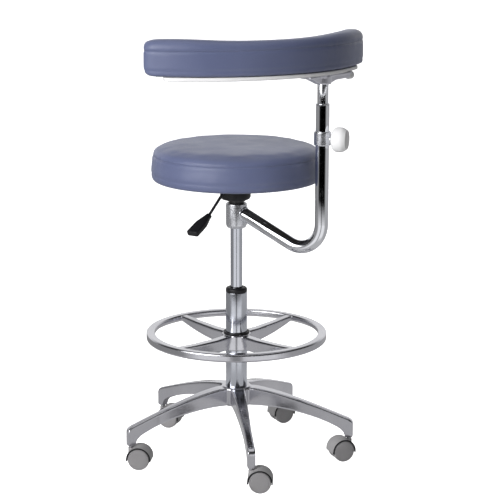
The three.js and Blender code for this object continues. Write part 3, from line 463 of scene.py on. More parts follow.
def remeshed(obj, voxel):
    remesh = obj.modifiers.new("even", "REMESH")
    remesh.mode = "VOXEL"
    remesh.voxel_size = voxel


def merged(name, *objects):
    """Several objects' meshes in one object."""
    work = bmesh.new()
    for obj in objects:
        work.from_mesh(obj.data)
        mesh = obj.data
        bpy.data.objects.remove(obj)
        bpy.data.meshes.remove(mesh)
    mesh = bpy.data.meshes.new(name)
    work.to_mesh(mesh)
    work.free()
    return linked(name, mesh)


def cast(name, voxel, smoothing, *objects, crease=60):
    """Overlapping closed solids run together as one casting, with soft inner corners."""
    made = merged(name, *objects)
    remeshed(made, voxel)
    smoothed(made, smoothing)
    baked(made)
    soften(made.data, crease)
    return made


def drilled(obj, *tools):
    """The object with other objects cut out of it."""
    for tool in tools:
        cut = obj.modifiers.new("cut", "BOOLEAN")
        cut.operation = "DIFFERENCE"
        cut.solver = "EXACT"
        cut.object = tool
    baked(obj)
    for tool in tools:
        bpy.data.objects.remove(tool)
    soften(obj.data)
    return obj


def bore(r, low, high, place, segments=96):
    """A cutter for a round hole from low to high along the place's Z axis."""
    outline = [(0, low), (r, low, 0), (r, high, 0), (0, high)]
    return turned("bore", outline, place, segments)


def stands_for(obj, look, body, *nodes, slot=None):
    """Dresses a fine piece, lets it ride on its body and hides the CAD nodes it stands for."""
    dress(obj, look)
    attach(obj, body)
    if nodes:
        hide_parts(*nodes)
    return obj


def fitting(name, profile, look, body, node, slot=None, segments=96):
    """A turned piece on the axis of the round CAD node that it stands for."""
    stands_for(turned(name, profile, upright_at(node), segments), look, body, node, slot=slot)


# ---- column and gas lift

stands_for(tube("column", "column_tube", 2 * MM, top=1.2 * MM), "satin_chrome", "base",
           "column_tube", slot="chrome")

bush_low, bush_high = heights("column_bush")
bush_r = radius("column_bush")
bore_r = radius("gas_cylinder") + 0.3 * MM
shoulder_z = heights("column_tube")[1] + 0.3 * MM
fitting(
    "bush",
    [
        (bore_r, bush_low), (bush_r - 2.3 * MM, bush_low), (bush_r - 2.3 * MM, shoulder_z),
        (bush_r, shoulder_z, 0.8 * MM), (bush_r, bush_high - 3 * MM, 2 * MM),
        (bush_r - 3 * MM, bush_high, 2 * MM), (bore_r + 1 * MM, bush_high, 1 * MM),
        (bore_r, bush_high - 1.5 * MM),
    ],
    "black_plastic", "base", "column_bush",
)

cylinder_low, cylinder_high = heights("gas_cylinder")
cylinder_r = radius("gas_cylinder")
taper_z = cylinder_high - 48 * MM
mouth_z = cylinder_high - 14 * MM
fitting(
    "lift_cylinder",
    [
        (cylinder_r - 1.5 * MM, cylinder_low), (cylinder_r, cylinder_low), (cylinder_r, taper_z),
        (cylinder_r - 0.7 * MM, cylinder_high), (cylinder_r - 9.7 * MM, cylinder_high),
        (cylinder_r - 9.7 * MM, mouth_z), (cylinder_r - 1.5 * MM, mouth_z),
    ],
    "satin_chrome", "seat", "gas_cylinder", slot="chrome",
)

rod_low, rod_high = heights("piston_rod")
groove_low, groove_high = rod_low + 3.5 * MM, rod_low + 6.5 * MM
fitting(
    "lift_rod",
    [
        (0, rod_low), (5 * MM, rod_low, 1 * MM), (5 * MM, groove_low), (4 * MM, groove_low),
        (4 * MM, groove_high), (5 * MM, groove_high), (5 * MM, rod_high), (0, rod_high),
    ],
    "steel", "lift_rod", "piston_rod", segments=48,
)

# ---- star base

STEMS = [Vector(JOINTS[f"caster_swivel_{i}"]["pos_m"]) for i in range(1, 6)]
STEM_CIRCLE_R = (STEMS[0].xy - COLUMN).length
HUB_R = 36 * MM
HUB_BORE_R = 25.4 * MM
HUB_LOW = 119 * MM
HUB_HIGH = 165 * MM


def bezier(points, steps):
    """Points along a Bezier curve of any order."""
    made = []
    for k in range(steps + 1):
        t = k / steps
        level = [Vector(p) for p in points]
        while len(level) > 1:
            level = [a.lerp(b, t) for a, b in zip(level, level[1:])]
        made.append((level[0].x, level[0].y))
    return made


def height_at(curve, s):
    """The z of a curve of (s, z) points at a distance s."""
    return float(np.interp(s, [p[0] for p in curve], [p[1] for p in curve]))


def leg(name, direction):
    """One leg: an arched bar, narrower outwards, that turns down at its end to hold a caster."""
    # The side view's upper and lower edges, as (distance from the column, z) in millimetres.
    tip = STEM_CIRCLE_R / MM + 9
    top = [(0, 163), (45, 163)]
    top += bezier([(45, 163), (110, 155), (190, 128), (tip - 20, 103)], 24)
    top += bezier([(tip - 20, 103), (tip, 98), (tip, 86)], 10)
    under = [(0, 121), (55, 121)]
    under += bezier([(55, 121), (120, 119), (190, 102), (236, 80)], 24)
    under += bezier([(236, 80), (tip - 18, 70), (tip - 18, 53)], 16)
    under += [(tip, 53)]
    stations = [10, 30] + list(np.linspace(40, 236, 34)) + list(np.linspace(238, tip - 18.5, 12))
    stations += list(np.linspace(tip - 17.9, tip - 2, 9)) + [tip - 1, tip - 0.4, tip]
    rings = []
    for s in stations:
        high, low = height_at(top, s), height_at(under, s)
        width = float(np.interp(s, [36, 200], [33, 18]))
        inset = 2.2 * (1 - math.sqrt(max(0.0, 1 - max(0.0, (s - tip + 2) / 2) ** 2)))
        ring = rounded_box_ring(width - 2 * inset, high - low - 2 * inset, 3.2)
        rings.append([(s * MM, x * MM, (z + (high + low) / 2) * MM) for x, z in ring])
    return loft(name, rings, place=turned_to((*COLUMN, 0), direction))


legs = [leg(f"leg_{i}", stem.xy - COLUMN) for i, stem in enumerate(STEMS)]
hub = turned(
    "hub",
    [(0, HUB_LOW), (HUB_R - 5 * MM, HUB_LOW, 3 * MM), (HUB_R, HUB_LOW + 3 * MM),
     (HUB_R, HUB_HIGH, 5 * MM), (0, HUB_HIGH)],
    COLUMN_PLACE,
)
base = cast("base_casting", 1.6 * MM, 4, hub, *legs)
drilled(base, bore(HUB_BORE_R, HUB_LOW - 5 * MM, HUB_HIGH + 5 * MM, COLUMN_PLACE))
stands_for(base, "cast_aluminium", "base", "star_base")

# ---- casters

WHEEL_R = 25 * MM
TRAIL = (Vector(JOINTS["wheel_roll_1a"]["pos_m"]).xy - STEMS[0].xy).length
HOOD_R = 28.8 * MM
HOOD_INNER_R = 25.7 * MM
HALF_WIDTH = 21.9 * MM
WEB_HALF = 6.7 * MM
WEB_R = HOOD_INNER_R + 0.6 * MM
BOSS_TOP = 49.5 * MM
HOOD_ARC = (-98, 98)
STEM_HOLE_R = 4.3 * MM
WHEEL_FACE = 7.3 * MM

# The frame's X points up, its Y forwards and its Z along the axle.
AXLE_FRAME = Matrix(((0, 1, 0, TRAIL), (0, 0, 1, 0), (1, 0, 0, WHEEL_R), (0, 0, 0, 1)))


def taken(obj, look):
    """An object's mesh by itself, to be copied into several places."""
    mesh = obj.data
    bpy.data.objects.remove(obj)
    mesh.materials.append(LOOKS[look])
    return mesh


def hood_mesh():
    """The caster's hood in its own frame: the stem at x = 0, the axle along Y at x = TRAIL, with painted shade in
    black on its rim.
    """
    cover = turned(
        "cover",
        [(HOOD_INNER_R, -HALF_WIDTH), (HOOD_R, -HALF_WIDTH, 1 * MM), (HOOD_R, HALF_WIDTH, 1 * MM),
         (HOOD_INNER_R, HALF_WIDTH)],
        AXLE_FRAME, 60, 0.4 * MM, HOOD_ARC,
    )
    web = turned(
        "web", [(0, -WEB_HALF), (WEB_R, -WEB_HALF), (WEB_R, WEB_HALF), (0, WEB_HALF)],
        AXLE_FRAME, 48, 0.4 * MM, HOOD_ARC,
    )
    boss = turned(
        "boss", [(0, WHEEL_R), (WEB_HALF, WHEEL_R), (WEB_HALF, BOSS_TOP, 1.5 * MM), (0, BOSS_TOP)],
        Matrix.Identity(4), 48,
    )
    made = cast("hood", 0.75 * MM, 2, cover, web, boss)
    stem_low = heights("caster_stem_1")[0]
    drilled(made, bore(STEM_HOLE_R, stem_low - 0.3 * MM, 60 * MM, Matrix.Identity(4), 40))
    soften(made.data, 50)
    mesh = taken(made, "dark_grey_plastic")
    # Painted shade: the hood's rim faces outside the wheel get black plastic, standing for the dark shadow gap
    # between the wheel and the hood.
    mesh.materials.append(LOOKS["black_plastic"])
    for polygon in mesh.polygons:
        x, y, z = polygon.center
        in_painted_gap_shade = abs(y) > HALF_WIDTH - 1.2 * MM and math.hypot(x - TRAIL, z - WHEEL_R) > WHEEL_R
        polygon.material_index = int(in_painted_gap_shade)
    return mesh


def wheel_mesh():
    """A wheel from its inner face at z = 0 to its outer face, with a soft tread edge and a cap."""
    width = 14.6 * MM
    profile = [
        (0, 11.4 * MM), (4.4 * MM, 11.4 * MM), (4.4 * MM, 0), (WHEEL_R - 1.6 * MM, 0, 0.8 * MM),
        (WHEEL_R, 2 * MM, 1 * MM), (WHEEL_R, width - 2.6 * MM, 1.6 * MM),
        (WHEEL_R - 1.4 * MM, width - 0.5 * MM, 0.8 * MM),
        (WHEEL_R - 3.6 * MM, width - 0.4 * MM, 0.3 * MM),
        (WHEEL_R - 4 * MM, width - 1 * MM, 0.3 * MM),
        (WHEEL_R - 4.5 * MM, width - 0.3 * MM, 0.4 * MM),
        (WHEEL_R - 9 * MM, width, 4 * MM), (0, width),
    ]
    return taken(turned("wheel", profile, Matrix.Identity(4), 80, 0.4 * MM), "grey_plastic")


def stem_mesh():
    stem_low, stem_high = heights("caster_stem_1")
    profile = [
        (0, stem_low), (4 * MM, stem_low), (4 * MM, 50 * MM), (5.5 * MM, 50 * MM),
        (5.5 * MM, stem_high), (0, stem_high),
    ]
    return taken(turned("stem", profile, Matrix.Identity(4), 40), "steel")


def placed(name, mesh, place, body, node):
    """A copy of a shared mesh in its place, baked into the row frame."""
    own = mesh.copy()
    own.name = name
    own.transform(place)
    obj = linked(name, own)
    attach(obj, body)
    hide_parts(node)
    return obj


hood, wheel, stem_shape = hood_mesh(), wheel_mesh(), stem_mesh()
for i, stem in enumerate(STEMS, 1):
    axle = Vector(JOINTS[f"wheel_roll_{i}a"]["pos_m"])
    trail = axle.xy - stem.xy
    place = turned_to((*stem.xy, 0), trail)
    placed(f"hood_{i}", hood, place, f"caster_{i}", f"caster_hood_{i}")
    placed(f"stem_{i}", stem_shape, place, "base", f"caster_stem_{i}")
    for side, letter in ((-1, "a"), (1, "b")):
        outward = along((TRAIL, side * WHEEL_FACE, WHEEL_R), (0, side, 0))
        name = f"wheel_{i}{letter}"
        placed(name, wheel, place @ outward, name, f"caster_{name}")

# ---- foot ring

RING_R = radius("foot_ring")
RING_TOP = heights("foot_ring")[1]
RING_HUB_LOW = heights("foot_ring")[0]
RING_HUB_HIGH = RING_TOP - 5 * MM
RING_INNER_R = RING_R - 20 * MM
RING_HUB_R = 34 * MM
RING_BORE_R = 28.3 * MM
COLLET_BORE_R = 25.3 * MM


def spoke(name, angle):
    """A spoke, wide on top and narrow underneath, shallower towards the ring."""
    top = [(0, 292), (75, 290.5), (140, 293), (201, 297.4)]
    under = [(0, 256), (70, 258)] + bezier([(70, 258), (125, 261), (201, 285)], 16)
    rings = []
    for s in np.linspace(8, 201, 34):
        high, low = height_at(top, s), height_at(under, s)
        wide = float(np.interp(s, [0, 211], [30, 22]))
        narrow = 14.0
        ring = []
        for x, z in rounded_box_ring(2, 2, 0.45, 4):
            t = (z + 1) / 2
            width = narrow + (wide - narrow) * min(1.0, max(0.0, (t - 0.3) / 0.7)) ** 1.5
            ring.append((s * MM, x / 2 * width * MM, (low + t * (high - low)) * MM))
        rings.append(ring)
    place = Matrix.Translation((*COLUMN, 0)) @ Matrix.Rotation(math.radians(angle), 4, "Z")
    return loft(name, rings, place=place)


ring_band = turned(
    "band",
    [
        (RING_INNER_R, RING_TOP - 11 * MM, 1.5 * MM), (RING_R - 6 * MM, RING_TOP - 20 * MM, 3 * MM),
        (RING_R, RING_TOP - 17 * MM, 3 * MM), (RING_R, RING_TOP, 4 * MM),
        (RING_INNER_R, RING_TOP, 3 * MM),
    ],
    COLUMN_PLACE, 180,
)
ring_hub = turned(
    "ring_hub",
    [(0, RING_HUB_LOW), (RING_HUB_R, RING_HUB_LOW, 2 * MM), (RING_HUB_R, RING_HUB_HIGH, 3 * MM),
     (0, RING_HUB_HIGH)],
    COLUMN_PLACE,
)
spokes = [spoke(f"spoke_{i}", angle) for i, angle in enumerate((48.5, 131.5, 228.5, 311.5))]
ring_voxel = 1.4 * MM
ring = cast("ring_casting", ring_voxel, 3, ring_band, ring_hub, *spokes)
drilled(ring, bore(RING_BORE_R, RING_HUB_LOW - 5 * MM, RING_HUB_HIGH + 9 * MM, COLUMN_PLACE))
stands_for(ring, "cast_aluminium", "ring", "foot_ring")

collet_low, collet_high = heights("foot_ring_collet")
collet_r = radius("foot_ring_collet")
fitting(
    "ring_collet",
    [
        (COLLET_BORE_R, collet_low), (28 * MM, collet_low), (28 * MM, collet_high - 4 * MM),
        (collet_r, collet_high - 4 * MM), (collet_r, collet_high, 1.5 * MM),
        (COLLET_BORE_R, collet_high),
    ],
    "black_plastic", "ring_collet", "foot_ring_collet",
)

# ---- swing arm

ARM_R = 15.2 * MM
REACH = (POST - COLUMN).length
OUTWARD = (POST - COLUMN).normalized()
SLOPE = math.radians(23.5)
BEND_R = 58 * MM
arm_low = heights("arm_tube")[0] + ARM_R
arm_high = heights("arm_tube")[1]


def in_arm_plane(s, z):
    return Vector((COLUMN.x + OUTWARD.x * s, COLUMN.y + OUTWARD.y * s, z))


def arm_path():
    bend_s, bend_z = REACH - BEND_R, arm_low + BEND_R
    bend = []
    for k in range(41):
        angle = -math.pi / 2 - SLOPE + (math.pi / 2 + SLOPE) * k / 40
        bend.append((bend_s + BEND_R * math.cos(angle), bend_z + BEND_R * math.sin(angle)))
    low_s, low_z = bend[0]
    start = [(s, low_z + (low_s - s) * math.tan(SLOPE)) for s in (22.5 * MM, 60 * MM, 100 * MM)]
    rise = [(REACH, bend_z + (arm_high - bend_z) * t) for t in (0.25, 0.5, 0.75, 1)]
    return [in_arm_plane(s, z) for s, z in start + bend + rise]


KNOB = JOINTS["clamp_turn"]
KNOB_FRAME = along((POST.x, POST.y, KNOB["pos_m"][2]), KNOB["axis"])
STUD_BORE_R = 4.4 * MM
COLLAR_BORE_R = 20.5 * MM
collar_low, collar_high = heights("arm_collar")
collar_r = radius("arm_collar")
arm_tube = swept("arm", arm_path(), ARM_R, 56)
drilled(
    arm_tube,
    bore(ARM_R - 1.5 * MM, 600 * MM, arm_high + 5 * MM, POST_PLACE),
    bore(COLLAR_BORE_R, collar_low - 20 * MM, collar_high + 20 * MM, upright_at("arm_collar")),
    bore(STUD_BORE_R, 0, 40 * MM, KNOB_FRAME, 40),
)
stands_for(arm_tube, "chrome", "arm", "arm_tube")

fitting(
    "arm_hub",
    [
        (COLLAR_BORE_R, collar_low), (collar_r - 3.5 * MM, collar_low, 1.5 * MM),
        (collar_r, collar_low + 6 * MM, 3 * MM), (collar_r, collar_high, 1.8 * MM),
        (COLLAR_BORE_R, collar_high),
    ],
    "rough_chrome", "arm", "arm_collar", slot="chrome",
)


def weld_path():
    """Where the arm's tube meets the collar."""
    low_s = REACH - BEND_R + BEND_R * math.cos(-math.pi / 2 - SLOPE)
    low_z = arm_low + BEND_R + BEND_R * math.sin(-math.pi / 2 - SLOPE)
    centre = in_arm_plane(0, low_z + low_s * math.tan(SLOPE))
    heading = Vector((OUTWARD.x * math.cos(SLOPE), OUTWARD.y * math.cos(SLOPE), -math.sin(SLOPE)))
    side = Vector((-OUTWARD.y, OUTWARD.x, 0))
    upper = heading.cross(side)
    reach = collar_r + 0.2 * MM
    points = []
    for k in range(96):
        angle = 2 * math.pi * k / 96
        offset = side * ARM_R * math.cos(angle) + upper * ARM_R * math.sin(angle)
        level = offset.xy.dot(OUTWARD)
        out = math.sqrt(reach**2 - offset.xy.dot(side.xy) ** 2)
        points.append(centre + offset + heading * ((out - level) / math.cos(SLOPE)))
    return points


weld = swept("arm_weld", weld_path(), 2.2 * MM, 12, closed=True)
stands_for(weld, "rough_chrome", "arm", slot="chrome")

guide_low, guide_high = heights("post_guide")
guide_r = radius("post_guide")
GUIDE_BORE_R = 12.65 * MM
lip_low = arm_high + 0.3 * MM
fitting(
    "post_sleeve",
    [
        (GUIDE_BORE_R, guide_low), (guide_r - 1.8 * MM, guide_low), (guide_r - 1.8 * MM, lip_low),
        (guide_r, lip_low), (guide_r, guide_high, 1.2 * MM), (GUIDE_BORE_R, guide_high, 0.5 * MM),
    ],
    "chrome", "arm", "post_guide",
)
stands_for(tube("post", "post_tube", 1.85 * MM), "chrome", "post", "post_tube")

clamp_low, clamp_high = heights("clamp_collar")
CLAMP_R = 19 * MM
clamp_ring = turned(
    "clamp_ring",
    [(0, clamp_low), (CLAMP_R, clamp_low, 2 * MM), (CLAMP_R, clamp_high, 2 * MM), (0, clamp_high)],
    POST_PLACE, 96,
)
clamp_boss = turned(
    "clamp_boss", [(0, 10 * MM), (9 * MM, 10 * MM), (9 * MM, CLAMP_R + 2 * MM, 0.8 * MM),
                   (0, CLAMP_R + 2 * MM)], KNOB_FRAME, 48,
)
clamp = cast("post_clamp", 0.6 * MM, 3, clamp_ring, clamp_boss)
drilled(
    clamp,
    bore(ARM_R + 0.25 * MM, clamp_low - 5 * MM, clamp_high + 5 * MM, POST_PLACE),
    bore(STUD_BORE_R, 0, 40 * MM, KNOB_FRAME, 40),
)
stands_for(clamp, "rough_chrome", "arm", "clamp_collar", slot="chrome")

neck = CLAMP_R + 2.3 * MM
KNOB_R = 28 * MM
knob = turned(
    "clamp_handle",
    [
        (0, 12.9 * MM), (4 * MM, 12.9 * MM), (4 * MM, neck), (10 * MM, neck, 0.5 * MM),
        (KNOB_R - 6 * MM, neck + 3 * MM, 4 * MM), (KNOB_R - 0.6 * MM, neck + 9 * MM, 5 * MM),
        (KNOB_R, neck + 18 * MM, 8 * MM), (KNOB_R - 1 * MM, neck + 27 * MM, 6 * MM),
        (KNOB_R - 7 * MM, neck + 35.5 * MM, 4 * MM), (KNOB_R - 9 * MM, neck + 35.5 * MM, 1 * MM),
        (KNOB_R - 11 * MM, neck + 34.8 * MM, 1 * MM), (KNOB_R - 15 * MM, neck + 37 * MM, 3 * MM),
        (0, neck + 38 * MM),
    ],
    KNOB_FRAME, 96, 0.4 * MM,
)
stands_for(knob, "white_plastic", "clamp_knob", "clamp_knob")

# ---- mechanism and lever

housing_low, housing_high = heights("mechanism_housing")
housing_r = radius("mechanism_housing")
HOUSING_BORE_R = 21.3 * MM
housing = turned(
    "mechanism_cup",
    [
        (HOUSING_BORE_R, housing_low, 0.5 * MM), (housing_r - 4 * MM, housing_low, 4 * MM),
        (housing_r, housing_low + 5 * MM, 5 * MM), (housing_r, housing_high, 1 * MM),
        (housing_r - 3 * MM, housing_high), (housing_r - 3 * MM, housing_low + 5 * MM, 3 * MM),
        (housing_r - 6 * MM, housing_low + 3 * MM, 3 * MM),
        (HOUSING_BORE_R, housing_low + 3 * MM, 0.5 * MM),
    ],
    upright_at("mechanism_housing"),
)
LEVER = JOINTS["lever_lift"]
lever_out = (Vector(LEVER["pos_m"]).xy - COLUMN).normalized()
LEVER_TURN = turned_to((*COLUMN, 0), lever_out)
slot_ring = rounded_box_ring(10.5 * MM, 18 * MM, 3 * MM)
slot_tool = loft(
    "slot_tool",
    [[(s, x, z + housing_high - 8 * MM) for x, z in slot_ring] for s in (26 * MM, 70 * MM)],
    place=LEVER_TURN,
)
drilled(housing, slot_tool)
stands_for(housing, "black_plastic", "seat", "mechanism_housing")

LEVER_Z = LEVER["pos_m"][2]
PIN_HOLE_R = 1.8 * MM
LEVER_CORNERS = [
    (-4 * MM, LEVER_Z), (30 * MM, LEVER_Z), (40 * MM, LEVER_Z - 3 * MM),
    (54 * MM, LEVER_Z - 18 * MM), (112 * MM, LEVER_Z - 63 * MM),
]


def bent(points, bend=9 * MM):
    """A path through corners with each corner rounded."""
    path = [Vector(points[0])]
    for before, here, after in zip(points, points[1:], points[2:]):
        here = Vector(here)
        into, out = (Vector(before) - here), (Vector(after) - here)
        reach = min(bend, into.length * 0.45, out.length * 0.45)
        start, end = here + into.normalized() * reach, here + out.normalized() * reach
        path += corner(start, here, end, 6)
    path.append(Vector(points[-1]))
    return path


lever_path = [LEVER_TURN @ Vector((p.x, 0, p.y)) for p in bent(LEVER_CORNERS)]
lever_rod = swept("lever_wire", lever_path, 3.25 * MM, 24)
drilled(lever_rod, bore(PIN_HOLE_R, -8 * MM, 8 * MM, along(LEVER["pos_m"], LEVER["axis"]), 32))
stands_for(lever_rod, "black_steel", "lever", "lever_rod")


def paddle():
    """The lever's grip: a flat, soft-edged blade that widens towards its end."""
    length, slope = 73, math.radians(26)
    rings = []
    for s in list(np.linspace(0, 69, 34)) + [70.5, 71.5, 72.2, 72.7, length]:
        half = float(np.interp(s, [0, 10, 20, 34, 50, 73], [6, 7.4, 10.6, 14.2, 14.5, 14.5]))
        thick = float(np.interp(s, [0, 12, 40, 73], [5.2, 5.8, 6.3, 6.5]))
        over = max(0.0, (s - 70) / 3)
        half -= 2.5 * (1 - math.sqrt(max(0.0, 1 - over**2)))
        thick -= 1.6 * (1 - math.sqrt(max(0.0, 1 - over**2)))
        ring = rounded_box_ring(2 * half * MM, 2 * thick * MM, 3 * MM)
        rings.append([(s * MM, x, z) for x, z in ring])
    start = Matrix.Translation((107 * MM, 0, LEVER_Z - 60 * MM))
    return loft("lever_grip", rings, 40, LEVER_TURN @ start @ Matrix.Rotation(slope, 4, "Y"))


stands_for(paddle(), "black_plastic", "lever", "lever_paddle")

socket_low, socket_high = heights("taper_socket")
fitting(
    "socket",
    [
        (14.3 * MM, socket_low), (17 * MM, socket_low, 0.8 * MM),
        (17 * MM, socket_low + 2 * MM, 0.2 * MM),
        (16 * MM, socket_low + 2 * MM, 0.2 * MM), (16 * MM, socket_low + 4.5 * MM, 0.2 * MM),
        (17 * MM, socket_low + 4.5 * MM, 0.2 * MM), (17 * MM, housing_low - 4 * MM),
        (21 * MM, housing_low - 4 * MM, 1 * MM), (21 * MM, socket_high), (13.6 * MM, socket_high),
    ],
    "black_steel", "seat", "taper_socket",
)

# ---- upholstery

COVER_VOXEL = 5 * MM
COVER_PRESSURE = 4.0
COVER_STEPS = 20
COVER_MOST_MOVE = 2.5 * MM


def inflate(obj, held_below):
    """Blows the cushion's cover up a little over its foam, as cloth held along its underside."""
    remeshed(obj, COVER_VOXEL)
    baked(obj)
    smoothed(obj, 3)
    baked(obj)
    simulate(obj, held_below)
    smoothed(obj, 2)
    finer = obj.modifiers.new("finer", "SUBSURF")
    finer.levels = 1
    baked(obj)


def evened(mesh, moved, passes=14):
    """Moves averaged with those of their neighbours, which leaves swelling but no fine creases."""
    edges = np.array([edge.vertices[:] for edge in mesh.edges])
    count = np.bincount(edges.ravel(), minlength=len(mesh.vertices))[:, None]
    for _ in range(passes):
        total = np.zeros_like(moved)
        np.add.at(total, edges[:, 0], moved[edges[:, 1]])
        np.add.at(total, edges[:, 1], moved[edges[:, 0]])
        moved = 0.4 * moved + 0.6 * total / count
    return moved


def simulate(obj, held_below):
    """Runs the cloth and keeps its swelling, smoothed and capped."""
    start = np.array([v.co for v in obj.data.vertices])
    held = obj.vertex_groups.new(name="held")
    held.add([i for i, co in enumerate(start) if co[2] < held_below], 1.0, "REPLACE")
    cloth = obj.modifiers.new("cover", "CLOTH")
    settings = cloth.settings
    settings.quality = 5
    settings.mass = 0.35
    settings.tension_stiffness = 20
    settings.compression_stiffness = 12
    settings.shear_stiffness = 8
    settings.bending_stiffness = 1.2
    settings.use_pressure = True
    settings.uniform_pressure_force = COVER_PRESSURE
    settings.vertex_group_mass = held.name
    settings.effector_weights.gravity = 0
    cloth.collision_settings.use_self_collision = False
    scene = bpy.context.scene
    for step in range(1, COVER_STEPS + 1):
        scene.frame_set(step)
    evaluated = obj.evaluated_get(bpy.context.evaluated_depsgraph_get())
    end = np.array([v.co for v in evaluated.data.vertices])
    obj.modifiers.clear()
    obj.vertex_groups.clear()
    moved = evened(obj.data, end - start)
    length = np.linalg.norm(moved, axis=1, keepdims=True)
    moved *= np.minimum(1.0, COVER_MOST_MOVE / np.maximum(length, 1e-9))
    obj.data.vertices.foreach_set("co", (start + moved).astype(np.float32).ravel())
    obj.data.update()
    scene.frame_set(1)


SEAM_DEPTH = 1.5 * MM
SEAM_WIDTH = 3.2 * MM
PUCKER_WIDTH = 11 * MM


def sewn(obj, seam_z, low_seam_z, inward):
    """Draws the cover in along its seams and puckers it softly beside them."""
    for vertex in obj.data.vertices:
        co = vertex.co
        direction = inward(co)
        if direction is None:
            continue
        pull = 0.0
        for z, share in ((seam_z, 1.0), (low_seam_z, 0.7)):
            away = co.z - z
            pull += share * SEAM_DEPTH * math.exp(-((away / SEAM_WIDTH) ** 2))
            pucker = noise.noise(Vector((co.x * 70, co.y * 70, z * 300)))
            pull += share * 0.5 * MM * pucker * math.exp(-((away / PUCKER_WIDTH) ** 2))
        pull += 0.5 * MM * noise.noise(co * 22)
        vertex.co = co + direction * pull
    obj.data.update()


seat_r = radius("seat_cushion")
board_top = heights("seat_board")[1]
shrink = 1.6 * MM
SEAT_FOLD_R = 172.5 * MM
seat_profile = [
    (0, board_top + 2 * MM), (SEAT_FOLD_R, board_top + 2 * MM, 0), (SEAT_FOLD_R, seat_low, 1 * MM),
    (seat_r - 15 * MM, seat_low - 3.5 * MM, 5 * MM), (seat_r - 4 * MM, seat_low - 0.5 * MM, 6 * MM),
    (seat_r - shrink, seat_low + 13 * MM, 10 * MM), (seat_r - shrink, seat_high - 21 * MM, 12 * MM),
    (seat_r - 8 * MM, seat_high - 7 * MM, 12 * MM), (seat_r - 27 * MM, seat_high - 1 * MM, 16 * MM),
    (130 * MM, seat_high + 0.6 * MM, 20 * MM), (0, seat_high + 1.6 * MM),
]
seat = turned("seat_pad", seat_profile, upright_at("gas_cylinder"), 128)
inflate(seat, seat_low + 7 * MM)


def towards_column(co):
    if co.z < seat_low + 3 * MM or (co.xy - COLUMN).length < seat_r - 30 * MM:
        return None
    inward = COLUMN - co.xy
    return Vector((*inward.normalized(), 0))


sewn(seat, SEAT_SEAM_Z, seat_low + 16 * MM, towards_column)
soften(seat.data, 80)
stands_for(seat, "upholstery", "seat", "seat_cushion")

REST_CENTRE = COLUMN + Vector((-78, 101)) * MM
REST_OUT_R = 380 * MM
REST_DEEP = 60 * MM
REST_START, REST_END = math.radians(-109.5), math.radians(-11)
REST_MIDDLE_R = REST_OUT_R - REST_DEEP / 2


def on_rest_arc(name, start, end, count, cap, section):
    """A bar about the rest's centre. Its section's share falls to 0 over the cap at each end."""
    rings = []
    for k in range(count + 1):
        t = k / count
        angle = start + (end - start) * t
        near = min(angle - start, end - angle)
        share = math.sqrt(max(0.0, 1 - (1 - min(1.0, near / cap)) ** 2))
        out = Vector((math.cos(angle), math.sin(angle)))
        rings.append([
            Vector((*(REST_CENTRE + out * (REST_MIDDLE_R + x)), z)) for x, z in section(t, share)
        ])
    return loft(name, rings)


def swell(t, where, width):
    return math.exp(-(((t - where) / width) ** 2))


def pad_section(t, share):
    """The pad's section, a little higher near the pad's ends, with a rounder top than bottom."""
    half = (REST_DEEP - 2 * shrink) * (0.4 + 0.6 * share) / 2
    lift = 3.5 * MM * (swell(t, 0.13, 0.13) + swell(t, 0.84, 0.17))
    high = rest_high - shrink + lift - 8 * MM * (1 - share)
    low = rest_low + 0.5 * MM + 10 * MM * (1 - share)
    top = min(22 * MM, half * 0.9)
    bottom = min((7 + 9 * (1 - share)) * MM, half * 0.9)
    outline = [(-half, low, bottom), (half, low, bottom), (half, high, top), (-half, high, top)]
    return rounded(outline, steps=10)


PAD_CAP = 30 * MM / REST_MIDDLE_R
rest = on_rest_arc("rest_pad", REST_START, REST_END, 90, PAD_CAP, pad_section)
inflate(rest, rest_low + 5 * MM)


def towards_core(co):
    if co.z < rest_low + 3 * MM:
        return None
    out = co.xy - REST_CENTRE
    angle = max(REST_START + 0.07, min(REST_END - 0.07, math.atan2(out.y, out.x)))
    core = REST_CENTRE + Vector((math.cos(angle), math.sin(angle))) * REST_MIDDLE_R
    inward = core - co.xy
    if inward.length < 15 * MM:
        return None
    return Vector((*inward.normalized(), 0))


sewn(rest, REST_SEAM_Z, rest_low + 13 * MM, towards_core)
soften(rest.data, 80)
stands_for(rest, "rest_upholstery", "rest", "rest_cushion", slot="upholstery")

# ---- torso rest's hardware

TRAY_HALF = 23 * MM
TRAY_INSET = math.radians(7.2)
tray_low, tray_high = heights("rest_tray")


def tray_section(t, share):
    ring = rounded_box_ring(TRAY_HALF * 2 * (0.55 + 0.45 * share), tray_high - tray_low, 2.4 * MM)
    return [(x, (tray_low + tray_high) / 2 + z) for x, z in ring]


TRAY_CAP = TRAY_HALF * 0.5 / REST_MIDDLE_R
tray_ends = (REST_START + TRAY_INSET, REST_END - TRAY_INSET)
tray = on_rest_arc("rest_shell", *tray_ends, 96, TRAY_CAP, tray_section)
stands_for(tray, "white_plastic", "rest", "rest_tray")

POST_HOLE_R = 12.6 * MM
SMALL_STUD_BORE_R = 3.3 * MM
REST_KNOB = JOINTS["rest_knob_turn"]
REST_KNOB_FRAME = along((POST.x, POST.y, REST_KNOB["pos_m"][2]), REST_KNOB["axis"])
bracket_low, bracket_high = heights("rest_bracket")
BRACKET_TURN = turned_to((*POST, 0), Vector(REST_KNOB["axis"]))


